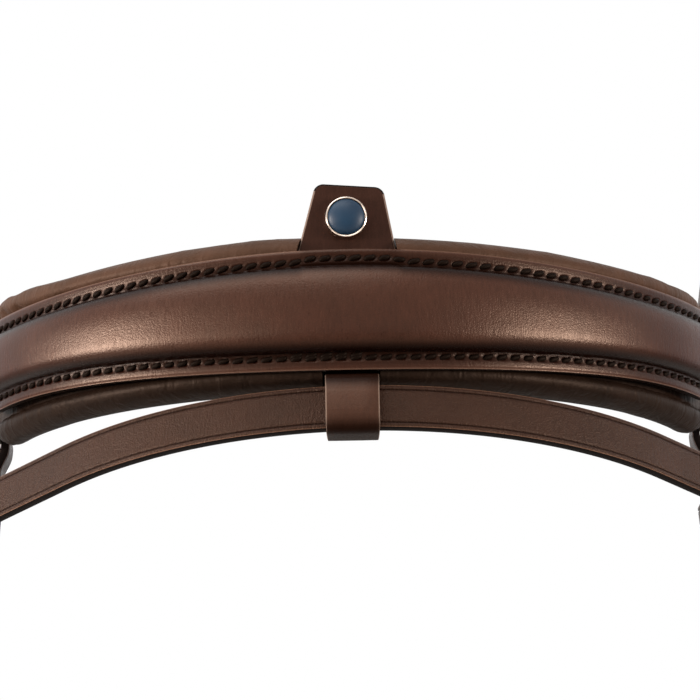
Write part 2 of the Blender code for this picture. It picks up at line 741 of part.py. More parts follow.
def build_loop():
    """Make the strip that passes through the pocket, round the flash strap and up again."""
    strap = Vector((FLASH_Y, -FLASH_DROP))
    up = Vector((math.sin(FLASH_TILT), math.cos(FLASH_TILT)))
    out = Vector((-up.y, up.x))
    across = FLASH_WIDTH / 2 + LOOP_PLAY + LEAF_T / 2
    away = FLASH_T / 2 + LOOP_PLAY + LEAF_T / 2
    under_leather = -FRONT_HEIGHT / 2 - GAP - LEAF_T / 2
    corners = [strap + up * across + out * away, strap - up * across + out * away,
               strap - up * across - out * away]
    spread_y = BACK_LEAF_Y + POCKET_SPREAD
    line = [(LEAF_Y, TAB_CREASE_Z - GAP / 2), (LEAF_Y, under_leather - GAP),
            tuple(corners[0]), tuple(corners[1]), tuple(corners[2]),
            (BACK_LEAF_Y, strap.y + LEAF_T * 2), (BACK_LEAF_Y, TAB_CREASE_Z + POCKET_TOP),
            (spread_y, TAB_CREASE_Z + POCKET_TOP + POCKET_SPREAD), (spread_y, TAB_TOP_Z)]
    points = [tuple(p) for p in rounded([Vector((y, z, 0.0)) for y, z in line], LOOP_BEND)]
    points = stepped([(y, z) for y, z, _ in points], TAB_CREASE_Z / 5)

    def half_width(z):
        if z > TAB_CREASE_Z:
            share = (z - TAB_CREASE_Z) / (TAB_TOP_Z - TAB_CREASE_Z)
            corner = max(0.0, z - (TAB_TOP_Z - TAB_CORNER)) / TAB_CORNER
            rounding = TAB_CORNER * (1 - math.sqrt(max(0.0, 1 - corner ** 2)))
            return TAB_BASE / 2 + (TAB_TOP - TAB_BASE) / 2 * share - rounding
        return ease(TAB_BASE / 2, LOOP_WIDTH / 2, (TAB_CREASE_Z - z) / TAB_CREASE_Z)

    last = points.pop()
    points += [(last[0], last[1] - TAB_CORNER * share) for share in (1.0, 0.6, 0.3, 0.1, 0.0)]
    rings = []
    for i, (y, z) in enumerate(points):
        before, after = points[max(i - 1, 0)], points[min(i + 1, len(points) - 1)]
        along = Vector((after[0] - before[0], after[1] - before[1])).normalized()
        side = Vector((-along.y, along.x)) * LEAF_T / 2
        b = half_width(z)
        x = ease(LOOP_SHIFT, 0.0, (z + TAB_CREASE_Z) / TAB_CREASE_Z)
        rings.append([Vector((x + b, y + side.x, z + side.y)), Vector((x - b, y + side.x, z + side.y)),
                      Vector((x - b, y - side.x, z - side.y)), Vector((x + b, y - side.x, z - side.y))])
    loop = loft("flash_loop", rings, leather("flash_loop"))
    stud_at = Matrix.Translation((0.0, spread_y, STUD_Z)) @ Matrix.Rotation(math.pi / 2, 4, "X")
    bore("stud_hole", STUD_POST_D / 2 + GAP, LEAF_T * 2, [stud_at], loop)


def build_tab():
    """Make the front tab, which opens forward about its crease, and its press stud."""
    crease = pivot("tab_axis", (0.0, LEAF_Y - LEAF_T / 2, TAB_CREASE_Z))
    base, top = TAB_BASE / 2, TAB_TOP / 2
    low, high = TAB_CREASE_Z + GAP / 2, TAB_TOP_Z
    corners = [(-base, low, 0.0), (-top, high, 0.0), (top, high, 0.0), (base, low, 0.0)]
    outline = [(x, z) for x, z, _ in rounded([Vector(c) for c in corners], TAB_CORNER, 4)]
    facing = Matrix.Rotation(math.pi / 2, 4, "X")
    flat("tab_front", [outline, circle(STUD_POST_D / 2 + GAP, (0.0, STUD_Z))], LEAF_T,
         Matrix.Translation((0.0, LEAF_Y, 0.0)) @ facing, leather("tab"), crease)
    face = Matrix.Translation((0.0, LEAF_Y - LEAF_T / 2 - GAP, STUD_Z)) @ facing
    floor = BEZEL_H / 3
    outer, inner, post = BEZEL_D / 2, BEZEL_D / 2 - BEZEL_RIM, STUD_POST_D / 2
    behind = -LEAF_T - 2 * GAP
    turned("stud_bezel", [(0.0, floor), (inner, floor), (inner, BEZEL_H - floor / 3),
                          (inner + BEZEL_RIM / 3, BEZEL_H), (outer - BEZEL_RIM / 4, BEZEL_H - floor / 2),
                          (outer, floor), (outer - BEZEL_RIM / 2, 0.0), (post, 0.0),
                          (post, behind + GAP), (0.0, behind + GAP)], face, steel("bezel"), crease, 24)
    glass = inner - GAP
    dome = [(glass * math.sin(a), floor + GAP + (BEZEL_H - floor) * 0.4 + GLASS_DOME * math.cos(a))
            for a in np.linspace(0.0, math.pi / 2, 6)]
    turned("stud_glass", dome + [(glass, floor + GAP), (0.0, floor + GAP)], face,
           material("stud_blue_glass", (0.01, 0.03, 0.08), 0.08), crease, 24)
    mouth = BALL_D / 2 + GAP
    socket_at = Matrix.Translation((0.0, LEAF_Y + LEAF_T / 2 + GAP, STUD_Z)) @ facing
    rim = SOCKET_D / 2
    turned("stud_socket", [(rim - GAP, 0.0), (rim, -SOCKET_T / 4), (rim, -SOCKET_T * 0.8),
                           (rim - GAP, -SOCKET_T), (mouth, -SOCKET_T), (mouth, 0.0)],
           socket_at, steel("socket"), crease, 20)
    back = LEAF_Y + LEAF_T / 2 + GAP + SOCKET_T + GAP
    spread_y = BACK_LEAF_Y + POCKET_SPREAD
    base_at = spread_y + LEAF_T / 2 + GAP
    stem = STUD_POST_D / 2 * 0.8
    ball = BALL_D / 2
    depth = base_at - back
    turned("stud_ball", [(0.0, depth + SOCKET_T * 0.7), (ball * 0.7, depth + SOCKET_T * 0.6),
                         (ball, depth + SOCKET_T * 0.35), (stem, depth), (stem, 0.0),
                         (rim * 0.9, 0.0), (rim, -STUD_BASE_T / 2), (rim * 0.8, -STUD_BASE_T),
                         (0.0, -STUD_BASE_T)],
           Matrix.Translation((0.0, base_at, STUD_Z)) @ facing, steel("stud"), None, 20)


# Flash strap

def flash_thickness(u):
    """The strap is thinned where it folds round its buckle."""
    end = FLASH_BEND_AT + FLASH_BEND_R * FLASH_BEND + FLASH_BUCKLE_RUN
    return ease(FLASH_T, FLASH_FOLD_T, 1 - (end - FLASH_THINNED - u) / FLASH_THINNING)


def point_width(width, tip, u):
    """Half width of a strap that ends in a point at tip, u running towards it."""
    share = min(max((tip - u) / POINT_LENGTH, 0.0), 1.0)
    return POINT_HALF_WIDTH + (width / 2 - POINT_HALF_WIDTH) * math.sin(math.pi / 2 * share)


def build_flash():
    bend_end = FLASH_BEND_AT + FLASH_BEND_R * FLASH_BEND
    bar_at = bend_end + FLASH_BUCKLE_RUN
    tip = bend_end + FLASH_TIP_RUN
    axis = FLASH_APEX + FLASH_BACK * FLASH_R
    turn = pivot("flash_axis", axis)
    leaf = leaf_offset(FLASH_FOLD_T)
    pitch = FLASH_R * FLASH_ARC / 12
    line = [(-u, 0.0) for u in (tip, tip - POINT_LENGTH * 0.1, tip - POINT_LENGTH * 0.4)]
    line += [(-u, 0.0) for u in run(tip - POINT_LENGTH, bend_end, 2 * pitch)]
    line += [(-u, 0.0) for u in run(bend_end, FLASH_BEND_AT, pitch)[1:]]
    line += [(u, 0.0) for u in run(-FLASH_BEND_AT, FLASH_BEND_AT, pitch)[1:]]
    thinned = bar_at - FLASH_THINNED
    line += [(u, 0.0) for u in run(FLASH_BEND_AT, thinned - FLASH_THINNING, pitch)[1:]]
    line += [(thinned - FLASH_THINNING * (1 - share), ease(0.0, leaf, share))
             for share in (0.25, 0.5, 0.75, 1.0)]
    line += fold(bar_at, 1, leaf, bulge_over(BAR, FLASH_FOLD_T)) + [(bar_at - FLASH_TURN_BACK, -leaf)]
    folded = sweep("flash_strap", flash, line, flash_thickness,
                   lambda u: point_width(FLASH_WIDTH, tip, -u), leather("flash"), turn)
    prong_slot("flash", flash, bar_at, FLASH_FOLD_T, folded)
    first = tip - 2 * POINT_LENGTH
    bore("flash_holes", HOLE_R, 3 * FLASH_T,
         [through(flash, FLASH_HOLE_PITCH * k - first) for k in range(FLASH_HOLES)], folded)
    prong_pivot = pivot("flash_prong_axis", flash(bar_at, 0.0, 0.0))
    roller_pivot = pivot("flash_roller_axis", flash(bar_at + FLASH_BUCKLE_L, 0.0, 0.0))
    buckle("flash", flash, bar_at, FLASH_BUCKLE_L, FLASH_WIDTH, turn, prong_pivot, roller_pivot)
    room = leaf + FLASH_FOLD_T / 2 + GAP
    keeper("flash_keeper", flash, bar_at - KEEPER_AT, FLASH_WIDTH, -room,
           room + FLASH_T + GAP, turn)
    low = -FLASH_T / 2 - GAP
    keeper("flash_runner", flash, bar_at - FLASH_RUNNER_AT, FLASH_WIDTH, low,
           FLASH_T - low + GAP, turn)


# Chin strap

def chin_half(width_end, width, wire_at, u):
    """Half width of a chin strap piece, narrower where it folds round its ring."""
    return ease(width_end, width, (abs(u - wire_at) - SPREAD) / (2 * SPREAD)) / 2


def build_chin():
    axis = pivot("chin_axis", (0.0, RING_Y, 0.0))
    total = CHIN_TRACK.length
    leaf, thin = leaf_offset(CHIN_T), bulge_over(RING_WIRE, CHIN_T)
    stretch = ring_stretch(CHIN_END_WIDTH)
    bar_at = CHIN_BUCKLE_AT
    seam = bar_at / 2
    line = [(seam - GAP, -leaf)] + fold(0.0, -1, -leaf, thin, stretch)
    line += [(u, leaf) for u in run(SPREAD, bar_at - SPREAD, SPREAD)[1:-1]]
    line += fold(bar_at, 1, leaf, bulge_over(BAR, CHIN_T)) + [(seam, -leaf)]
    short = sweep("chin_buckle_strap", chin, line, lambda u: CHIN_T,
                  lambda u: chin_half(CHIN_END_WIDTH, CHIN_WIDTH, 0.0, u), leather("chin"), axis)
    prong_slot("chin", chin, bar_at, CHIN_T, short)
    over = leaf + CHIN_T / 2 + GAP + BILLET_T / 2
    crest = bulge_over(BAR, CHIN_T) + CHIN_T / 2 + GAP + BILLET_T / 2 + GAP
    under = -(ROLLER_R + GAP + BILLET_T / 2 + GAP)
    far = bar_at + CHIN_BUCKLE_L
    line = [(CHIN_TIP_AT + POINT_LENGTH * s, over) for s in (0.0, 0.1, 0.4, 1.0)]
    line += [(bar_at - SPREAD * (2 - s), ease(over, crest, s / 2 * 1.4)) for s in (0.0, 0.5, 1.0, 1.5)]
    line += [(bar_at + PRONG, crest)]
    dive = CHIN_BUCKLE_L - 2 * PRONG
    line += [(bar_at + PRONG + dive * s, ease(crest, under, s)) for s in np.linspace(0.0, 1.0, 9)[1:]]
    line += [(far + PRONG * 2, under)]
    line += [(far + SPREAD * (0.5 + s), ease(under, 0.0, s / 3)) for s in (0.75, 1.5, 2.25, 3.0)]
    billet_leaf = leaf_offset(BILLET_T)
    steady = total - BILLET_RETURN - 2 * SPREAD
    line += [(u, 0.0) for u in run(far + 3.5 * SPREAD, steady, CHIN_CORNER_R / 5)[1:]]
    line += [(steady + SPREAD * s, ease(0.0, billet_leaf, s / 2)) for s in (0.7, 1.3, 2.0)]
    line += [(total - BILLET_RETURN / 2, billet_leaf)]
    line += fold(total, 1, billet_leaf, bulge_over(RING_WIRE, BILLET_T), stretch)
    line += [(total - BILLET_RETURN, -billet_leaf)]

    def billet_half(u):
        point = point_width(CHIN_WIDTH, -CHIN_TIP_AT, -u)
        return min(point, chin_half(CHIN_END_WIDTH, CHIN_WIDTH, total, u))

    billet = sweep("chin_billet", chin, line, lambda u: BILLET_T, billet_half, leather("chin"), axis)
    first = far + 2 * CHIN_HOLE_PITCH
    bore("chin_holes", HOLE_R, 3 * BILLET_T,
         [through(chin, first + k * CHIN_HOLE_PITCH) for k in range(CHIN_HOLES)], billet)
    threaded = frame_at(chin, bar_at + CHIN_BUCKLE_L * 0.4, (HOOK_R + PRONG_REST) / 2)
    bore("chin_prong_hole", HOLE_R, CHIN_BUCKLE_L * 0.7,
         [threaded @ Matrix.Rotation(math.pi / 2, 4, "Y")], billet)
    prong_pivot = pivot("chin_prong_axis", chin(bar_at, 0.0, 0.0))
    roller_pivot = pivot("chin_roller_axis", chin(far, 0.0, 0.0))
    buckle("chin", chin, bar_at, CHIN_BUCKLE_L, CHIN_WIDTH, axis, prong_pivot, roller_pivot)
    low, high = -leaf - CHIN_T / 2 - GAP, over + BILLET_T / 2 + GAP
    keeper("chin_keeper", chin, bar_at - KEEPER_AT, CHIN_WIDTH, low, high, axis)
    keeper("chin_runner", chin, bar_at - CHIN_RUNNER_AT, CHIN_WIDTH, low, high, axis)


# Hangers

def build_hanger(side):
    prefix = "hanger_right" if side > 0 else "hanger_left"
    place = hanger(side)
    axis = pivot(prefix + "_axis", (side * WIRE_X, RING_Y, 0.0))
    leaf, bar_at = leaf_offset(HANGER_T), HANGER_LENGTH
    seam = bar_at / 2
    line = [(seam - GAP, -leaf)]
    line += fold(0.0, -1, -leaf, bulge_over(RING_WIRE, HANGER_T), ring_stretch(HANGER_END_WIDTH))
    line += [(seam, leaf)]
    line += fold(bar_at, 1, leaf, bulge_over(BAR, HANGER_T)) + [(seam, -leaf)]
    strap = sweep(prefix + "_strap", place, line, lambda u: HANGER_T,
                  lambda u: ease(HANGER_END_WIDTH, HANGER_WIDTH, (u - SPREAD) / (2 * SPREAD)) / 2,
                  leather("hanger"), axis)
    prong_slot(prefix, place, bar_at, HANGER_T, strap)
    prong_pivot = pivot(prefix + "_prong_axis", place(bar_at, 0.0, 0.0))
    roller_pivot = pivot(prefix + "_roller_axis", place(bar_at + HANGER_BUCKLE_L, 0.0, 0.0))
    buckle(prefix, place, bar_at, HANGER_BUCKLE_L, HANGER_WIDTH, axis, prong_pivot, roller_pivot)
    room = leaf + HANGER_T / 2 + GAP
    for name, from_bar in (("_keeper", KEEPER_AT), ("_runner", HANGER_RUNNER_AT)):
        keeper(prefix + name, place, bar_at - from_bar, HANGER_WIDTH, -room,
               room + BRIDLE_STRAP_T, axis)


def main():
    build_front()
    build_filler()
    build_backing()
    build_padding()
    build_loop()
    build_tab()
    build_flash()
    build_chin()
    for side in (1, -1):
        build_ring(side)
        build_hanger(side)


for old in list(bpy.data.objects):
    bpy.data.objects.remove(old)
PARTS = new_collection("bridle_noseband")
CUTTERS = new_collection("cutters")
main()
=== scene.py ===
"""Looks of a padded bridle noseband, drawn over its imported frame.

Metres, +Z up. The front of the nosepiece faces -Y and the horse's nose lies towards +Y.
"""
import logging
import math
from dataclasses import dataclass
from enum import Enum
from typing import Callable, Iterable, Sequence

import bmesh
import bpy
import numpy as np
from mathutils import Matrix, Vector


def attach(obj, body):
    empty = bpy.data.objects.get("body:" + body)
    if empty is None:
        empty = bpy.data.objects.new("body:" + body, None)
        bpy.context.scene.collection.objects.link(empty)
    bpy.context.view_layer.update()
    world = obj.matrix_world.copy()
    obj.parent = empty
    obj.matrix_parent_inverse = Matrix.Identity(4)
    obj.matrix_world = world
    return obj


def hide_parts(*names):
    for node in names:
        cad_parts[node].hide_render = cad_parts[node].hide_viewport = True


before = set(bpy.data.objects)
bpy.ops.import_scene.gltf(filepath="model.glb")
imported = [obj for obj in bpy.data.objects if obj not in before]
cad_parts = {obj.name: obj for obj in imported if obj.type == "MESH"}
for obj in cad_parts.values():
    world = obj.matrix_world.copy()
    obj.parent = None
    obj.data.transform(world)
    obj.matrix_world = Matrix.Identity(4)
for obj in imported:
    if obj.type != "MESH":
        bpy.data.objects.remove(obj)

LOG = logging.getLogger("noseband")
MM = 0.001
# Air between two leaves of leather, or between leather and the metal it folds round.
LEAF_GAP = 0.3 * MM
# Lengths over which a fold's leaves part, and over which a strap's end widens or thickens.
FOLD_RUN = 7 * MM
END_RUN = 14 * MM
# Radius of a buckle's wire, and the punched holes and prong slots.
BAR_WIRE = 1.3 * MM
HOLE_RADIUS = 1.9 * MM
SLOT_WIDTH = 3.0 * MM
SLOT_BEFORE, SLOT_PAST = 6.2 * MM, 6 * MM
# Width and thickness of the flash strap, and the height of the crease above its loop.
FLASH_WIDTH = 12.7 * MM
FLASH_THICK = 3.0 * MM
CREASE_Z = 17.3 * MM
# How far the front leather's stitch rows start below its face, before each stitch's own rise,
# and the phase from one stitch's unevenness to the next.
THREAD_SUNK = 0.15 * MM
GOLDEN_TURN = 2.399
# Marks in the UV map for cut edges and the flesh side.
EDGE_MARK, FLESH_MARK = -1.0, -5.0
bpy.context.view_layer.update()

Place = Callable[[float, float, float], Vector]
Pair = tuple[float, float]
Socket = bpy.types.NodeSocket
Feed = float | Socket


class Side(Enum):
    """Left or right, as the part's X axis runs."""

    LEFT = -1
    RIGHT = 1

    @property
    def word(self) -> str:
        """The side's name as the nodes spell it."""
        return self.name.lower()


class Body(Enum):
    """The moving bodies of the frame that pieces ride on."""

    NOSEPIECE = "nosepiece"
    TAB = "tab"
    FLASH = "flash"
    CHIN = "chin"


# Small helpers

def blend(start: float, end: float, share: float) -> float:
    """Blend two values along a smooth step.

    Args:
        start: value at share 0.
        end: value at share 1.
        share: how far along, kept between 0 and 1.

    Returns:
        The blended value.
    """
    share = min(max(share, 0.0), 1.0)
    return start + (end - start) * (1 - math.cos(math.pi * share)) / 2


def linear(hex_colour: str) -> tuple[float, float, float, float]:
    """Turn an sRGB hex colour into linear red, green, blue and alpha.

    Args:
        hex_colour: six hex digits after a hash.

    Returns:
        The four linear values.
    """
    parts = [int(hex_colour[i:i + 2], 16) / 255 for i in (1, 3, 5)]
    flat = [c / 12.92 if c <= 0.04045 else ((c + 0.055) / 1.055) ** 2.4 for c in parts]
    return (flat[0], flat[1], flat[2], 1.0)


# The colour of the shine on waxed brown leather.
WARM_SHINE = linear("#ffdcc4")


def feed(tree: bpy.types.NodeTree, node: bpy.types.Node, inputs: dict) -> None:
    """Set or link a node's inputs.

    Args:
        tree: the node's tree.
        node: the node.
        inputs: socket name or index to a value, or to the socket that feeds it.
    """
    for key, value in inputs.items():
        if isinstance(value, Socket):
            tree.links.new(value, node.inputs[key])
        else:
            node.inputs[key].default_value = value


def add_node(tree: bpy.types.NodeTree, kind: str, inputs: dict | None = None,
             **settings) -> bpy.types.Node:
    """Add one node with its settings, and set or link its inputs.

    Args:
        tree: the tree that gets the node.
        kind: the node's type.
        inputs: as for feed.
        settings: the node's own properties.

    Returns:
        The new node.
    """
    node = tree.nodes.new(kind)
    for key, value in settings.items():
        setattr(node, key, value)
    feed(tree, node, inputs or {})
    return node


def maths(tree: bpy.types.NodeTree, operation: str, *values: Feed, clamp: bool = False) -> Socket:
    """Return the result of one sum.

    Args:
        tree: the tree that gets the node.
        operation: the sum's name.
        values: its numbers or sockets.
        clamp: whether the result is kept between 0 and 1.

    Returns:
        The result's socket.
    """
    return add_node(tree, "ShaderNodeMath", dict(enumerate(values)), operation=operation,
                    use_clamp=clamp).outputs[0]


def ramp(tree: bpy.types.NodeTree, value: Socket, start: float, end: float, low: Feed, high: Feed,
         smooth: bool = False) -> Socket:
    """Map a value's range to another range, kept between its ends.

    Args:
        tree: the tree that gets the node.
        value: the value that is mapped.
        start: the value that gives low.
        end: the value that gives high.
        low: the result at start.
        high: the result at end.
        smooth: whether it eases in and out.

    Returns:
        The result's socket.
    """
    return add_node(tree, "ShaderNodeMapRange", {0: value, 1: start, 2: end, 3: low, 4: high},
                    interpolation_type="SMOOTHSTEP" if smooth else "LINEAR").outputs[0]


def band(tree: bpy.types.NodeTree, value: Socket, centre: float, reach: float) -> Socket:
    """Return 1 where a value meets a centre, easing to 0 at its reach on both sides."""
    away = maths(tree, "ABSOLUTE", maths(tree, "SUBTRACT", value, centre))
    return ramp(tree, away, 0.0, reach, 1.0, 0.0, smooth=True)


def mixed(tree: bpy.types.NodeTree, share: Socket, first: Sequence[float] | Socket,
          second: Sequence[float] | Socket) -> Socket:
    """Mix two colours, where share 0 gives the first."""
    return add_node(tree, "ShaderNodeMix", {0: share, 6: first, 7: second}, data_type="RGBA").outputs[2]


def scaled(tree: bpy.types.NodeTree, colour: Sequence[float] | Socket, share: Socket) -> Socket:
    """Scale a colour by a share."""
    return add_node(tree, "ShaderNodeVectorMath", {0: colour, "Scale": share},
                    operation="SCALE").outputs[0]


def noise(tree: bpy.types.NodeTree, where: Socket, size: float, detail: float,
          roughness: float = 0.5, distortion: float = 0.0) -> Socket:
    """Return cloudy noise.

    Args:
        tree: the tree that gets the node.
        where: the coordinates that it reads.
        size: the size of its largest patches.
        detail: how many finer layers it has.
        roughness: how strong the finer layers are.
        distortion: how far it swirls.

    Returns:
        The noise's socket.
    """
    return add_node(tree, "ShaderNodeTexNoise", {"Vector": where, "Scale": 1 / size, "Detail": detail,
                                                 "Roughness": roughness,
                                                 "Distortion": distortion}).outputs[0]


def cells(tree: bpy.types.NodeTree, where: Socket, size: float) -> Socket:
    """Return the distance to the nearest of many scattered points, for pores and pebbles."""
    return add_node(tree, "ShaderNodeTexVoronoi", {"Vector": where,
                                                   "Scale": 1 / size}).outputs["Distance"]


def bumped(tree: bpy.types.NodeTree, height: Socket, strength: float, distance: float,
           under: Socket | None = None) -> Socket:
    """Return a normal raised by a height.

    Args:
        tree: the tree that gets the node.
        height: the height's socket.
        strength: its strength.
        distance: its depth.
        under: the normal of the bump below it.

    Returns:
        The normal's socket.
    """
    inputs = {"Height": height, "Strength": strength, "Distance": distance}
    if under is not None:
        inputs["Normal"] = under
    return add_node(tree, "ShaderNodeBump", inputs).outputs[0]


def smooth_loop(points: Sequence[Pair], per_side: int) -> list[Pair]:
    """Round a closed run of points with a Catmull-Rom curve.

    Args:
        points: the corners, in order.
        per_side: points made between one corner and the next.

    Returns:
        The closed, rounder run.
    """
    made = []
    count = len(points)
    for i in range(count):
        p = [np.array(points[(i + k) % count]) for k in (-1, 0, 1, 2)]
        for j in range(per_side):
            t = j / per_side
            q = 0.5 * (2 * p[1] + (p[2] - p[0]) * t + (2 * p[0] - 5 * p[1] + 4 * p[2] - p[3]) * t ** 2
                       + (3 * p[1] - p[0] - 3 * p[2] + p[3]) * t ** 3)
            made.append((float(q[0]), float(q[1])))
    return made


def rounded(points: Sequence[Vector], radius: float, steps: int = 5) -> list[Vector]:
    """Turn each inner corner of a run of points into an arc.

    Args:
        points: the run, ends kept.
        radius: the arcs' radius.
        steps: pieces in each arc.

    Returns:
        The rounded run.
    """
    made = [points[0]]
    for before, corner, after in zip(points, points[1:], points[2:]):
        a, b = (before - corner).normalized(), (after - corner).normalized()
        half = a.angle(b) / 2
        centre = corner + (a + b).normalized() * radius / math.sin(half)
        first = corner + a * radius / math.tan(half) - centre
        last = corner + b * radius / math.tan(half) - centre
        turn = first.angle(last)
        for k in range(steps + 1):
            share = k / steps
            mixed = first * math.sin((1 - share) * turn) + last * math.sin(share * turn)
            made.append(centre + mixed / math.sin(turn))
    made.append(points[-1])
    return made


# Routes of the straps, as the solids have them

@dataclass(frozen=True)
class Track:
    """A flat path of straight stretches and arcs, each a length and a curvature."""

    start: Pair
    heading: float
    segments: tuple[Pair, ...]

    @property
    def length(self) -> float:
        """Whole length of the path."""
        return sum(length for length, _ in self.segments)

    def at(self, distance: float) -> tuple[float, float, float]:
        """Read the path at a distance; past its ends it runs straight.

        Args:
            distance: along the path from its start.

        Returns:
            The two coordinates and the heading.
        """
        x, y = self.start
        heading = self.heading
        if distance < 0:
            return x + distance * math.cos(heading), y + distance * math.sin(heading), heading
        left = distance
        for length, curvature in self.segments:
            step = min(left, length)
            if curvature:
                after = heading + curvature * step
                x += (math.sin(after) - math.sin(heading)) / curvature
                y += (math.cos(heading) - math.cos(after)) / curvature
                heading = after
            else:
                x += step * math.cos(heading)
                y += step * math.sin(heading)
            left -= step
            if left <= 0:
                return x, y, heading
        return x + left * math.cos(heading), y + left * math.sin(heading), heading


@dataclass(frozen=True)
class NoseRoute:
    """The arch over the nose; u from its middle, v out from the seam, w up."""

    radius: float = 109.7 * MM
    arc: float = math.radians(74.0)
    end_radius: float = 50.0 * MM
    end_run: float = 8.0 * MM
    centre_y: float = 95.959 * MM

    @property
    def track(self) -> Track:
        """The right half of the arch, seen from above."""
        turn = math.pi / 2 - self.arc
        return Track((0.0, self.centre_y - self.radius), 0.0,
                     ((self.radius * self.arc, 1 / self.radius),
                      (self.end_radius * turn, 1 / self.end_radius), (self.end_run, 0.0)))

    def place(self, u: float, v: float, w: float) -> Vector:
        """Put a point of the flat nosepiece in its place."""
        x, y, heading = self.track.at(abs(u))
        side = math.copysign(1.0, u)
        return Vector((side * (x + v * math.sin(heading)), y - v * math.cos(heading), w))


NOSE = NoseRoute()
RING_R, RING_WIRE = 15.0 * MM, 1.8 * MM
WIRE_U = NOSE.track.length
WIRE_X, WIRE_Y, _ = NOSE.track.at(WIRE_U)
RING_Y = WIRE_Y + RING_R


@dataclass(frozen=True)
class ChinRoute:
    """The deep U under the rings; u from the right ring's wire, v outwards, w along Y."""

    lean: float = math.radians(5.0)
    leg: float = 74.0 * MM
    corner_radius: float = 45.0 * MM
    bottom_radius: float = 200.0 * MM

    @property
    def track(self) -> Track:
        """The whole U, seen from the front."""
        inset = WIRE_X + self.leg * math.sin(self.lean) - self.corner_radius * math.cos(self.lean)
        turn = math.acos(inset / (self.bottom_radius - self.corner_radius))
        corner = (self.corner_radius * (turn + self.lean), -1 / self.corner_radius)
        bottom = (self.bottom_radius * (math.pi - 2 * turn), -1 / self.bottom_radius)
        return Track((WIRE_X, -RING_R), self.lean - math.pi / 2,
                     ((self.leg, 0.0), corner, bottom, corner, (self.leg, 0.0)))

    def place(self, u: float, v: float, w: float) -> Vector:
        """Put a point of the flat chin strap in its place."""
        x, z, heading = self.track.at(u)
        return Vector((x - v * math.sin(heading), RING_Y + w, z + v * math.cos(heading)))


@dataclass(frozen=True)
class HangerRoute:
    """A straight hanger above its ring; u up from the wire, v outwards, w along Y."""

    side: Side
    lean: float = math.radians(9.0)

    def place(self, u: float, v: float, w: float) -> Vector:
        """Put a point of the flat hanger in its place."""
        x = WIRE_X + u * math.sin(self.lean) + v * math.cos(self.lean)
        z = RING_R + u * math.cos(self.lean) - v * math.sin(self.lean)
        return Vector((self.side.value * x, RING_Y + w, z))


@dataclass(frozen=True)
class FlashRoute:
    """The flash strap's arch and its two hanging ends; u from the apex, v out, w across."""

    radius: float = 116.0 * MM
    arc: float = math.radians(46.0)
    straight: float = 28.0 * MM
    tilt: float = math.radians(14.0)
    bend_radius: float = 45.0 * MM
    bend: float = math.radians(80.0)
    apex: tuple[float, float, float] = (3.5 * MM, -14.141 * MM, -27.2 * MM)

    @property
    def bend_at(self) -> float:
        """Distance from the apex to the start of each hanging end's bend."""
        return self.radius * self.arc + self.straight

    @property
    def bend_end(self) -> float:
        """Distance from the apex to the end of that bend."""
        return self.bend_at + self.bend_radius * self.bend

    def place(self, u: float, v: float, w: float) -> Vector:
        """Put a point of the flat flash strap in its place."""
        back = Vector((0.0, math.cos(self.tilt), -math.sin(self.tilt)))
        up = Vector((0.0, math.sin(self.tilt), math.cos(self.tilt)))
        track = Track((0.0, 0.0), 0.0, ((self.radius * self.arc, 1 / self.radius), (self.straight, 0.0)))
        side, distance = math.copysign(1.0, u), abs(u)
        x, y, heading = track.at(min(distance, self.bend_at))
        along = Vector((math.cos(heading), 0.0, 0.0)) + back * math.sin(heading)
        out = Vector((math.sin(heading), 0.0, 0.0)) - back * math.cos(heading)
        point = Vector((x, 0.0, 0.0)) + back * y
        past = distance - self.bend_at
        if past > 0:
            turn = min(past / self.bend_radius, self.bend)
            ahead = along * math.cos(turn) - up * math.sin(turn)
            point = point + self.bend_radius * (along * math.sin(turn) - up * (1 - math.cos(turn)))
            point = point + ahead * (past - turn * self.bend_radius)
            up = up * math.cos(turn) + along * math.sin(turn)
        point = point + out * v + up * w
        return Vector(self.apex) + Vector((side * point.x, point.y, point.z))


FLASH = FlashRoute()
CHIN = ChinRoute()


# Finishes

def new_material(name: str) -> tuple[bpy.types.Material, bpy.types.NodeTree, bpy.types.Node]:
    """Start a material with its surface shader.

    Args:
        name: the material's name.

    Returns:
        The material, its tree and its Principled BSDF.
    """
    made = bpy.data.materials.new(name)
    made.use_nodes = True
    tree = made.node_tree
    return made, tree, tree.nodes["Principled BSDF"]


@dataclass(frozen=True)
class Finish:
    """A named finish, whose material is made on its first use."""

    name: str

    def material(self) -> bpy.types.Material:
        """Return the material."""
        found = bpy.data.materials.get(self.name)
        if found is None:
            found, tree, shader = new_material(self.name)
            self.paint(tree, shader)
        return found

    def paint(self, tree: bpy.types.NodeTree, shader: bpy.types.Node) -> None:
        """Build the finish's own nodes.

        Args:
            tree: the material's tree.
            shader: its Principled BSDF.
        """
        raise NotImplementedError


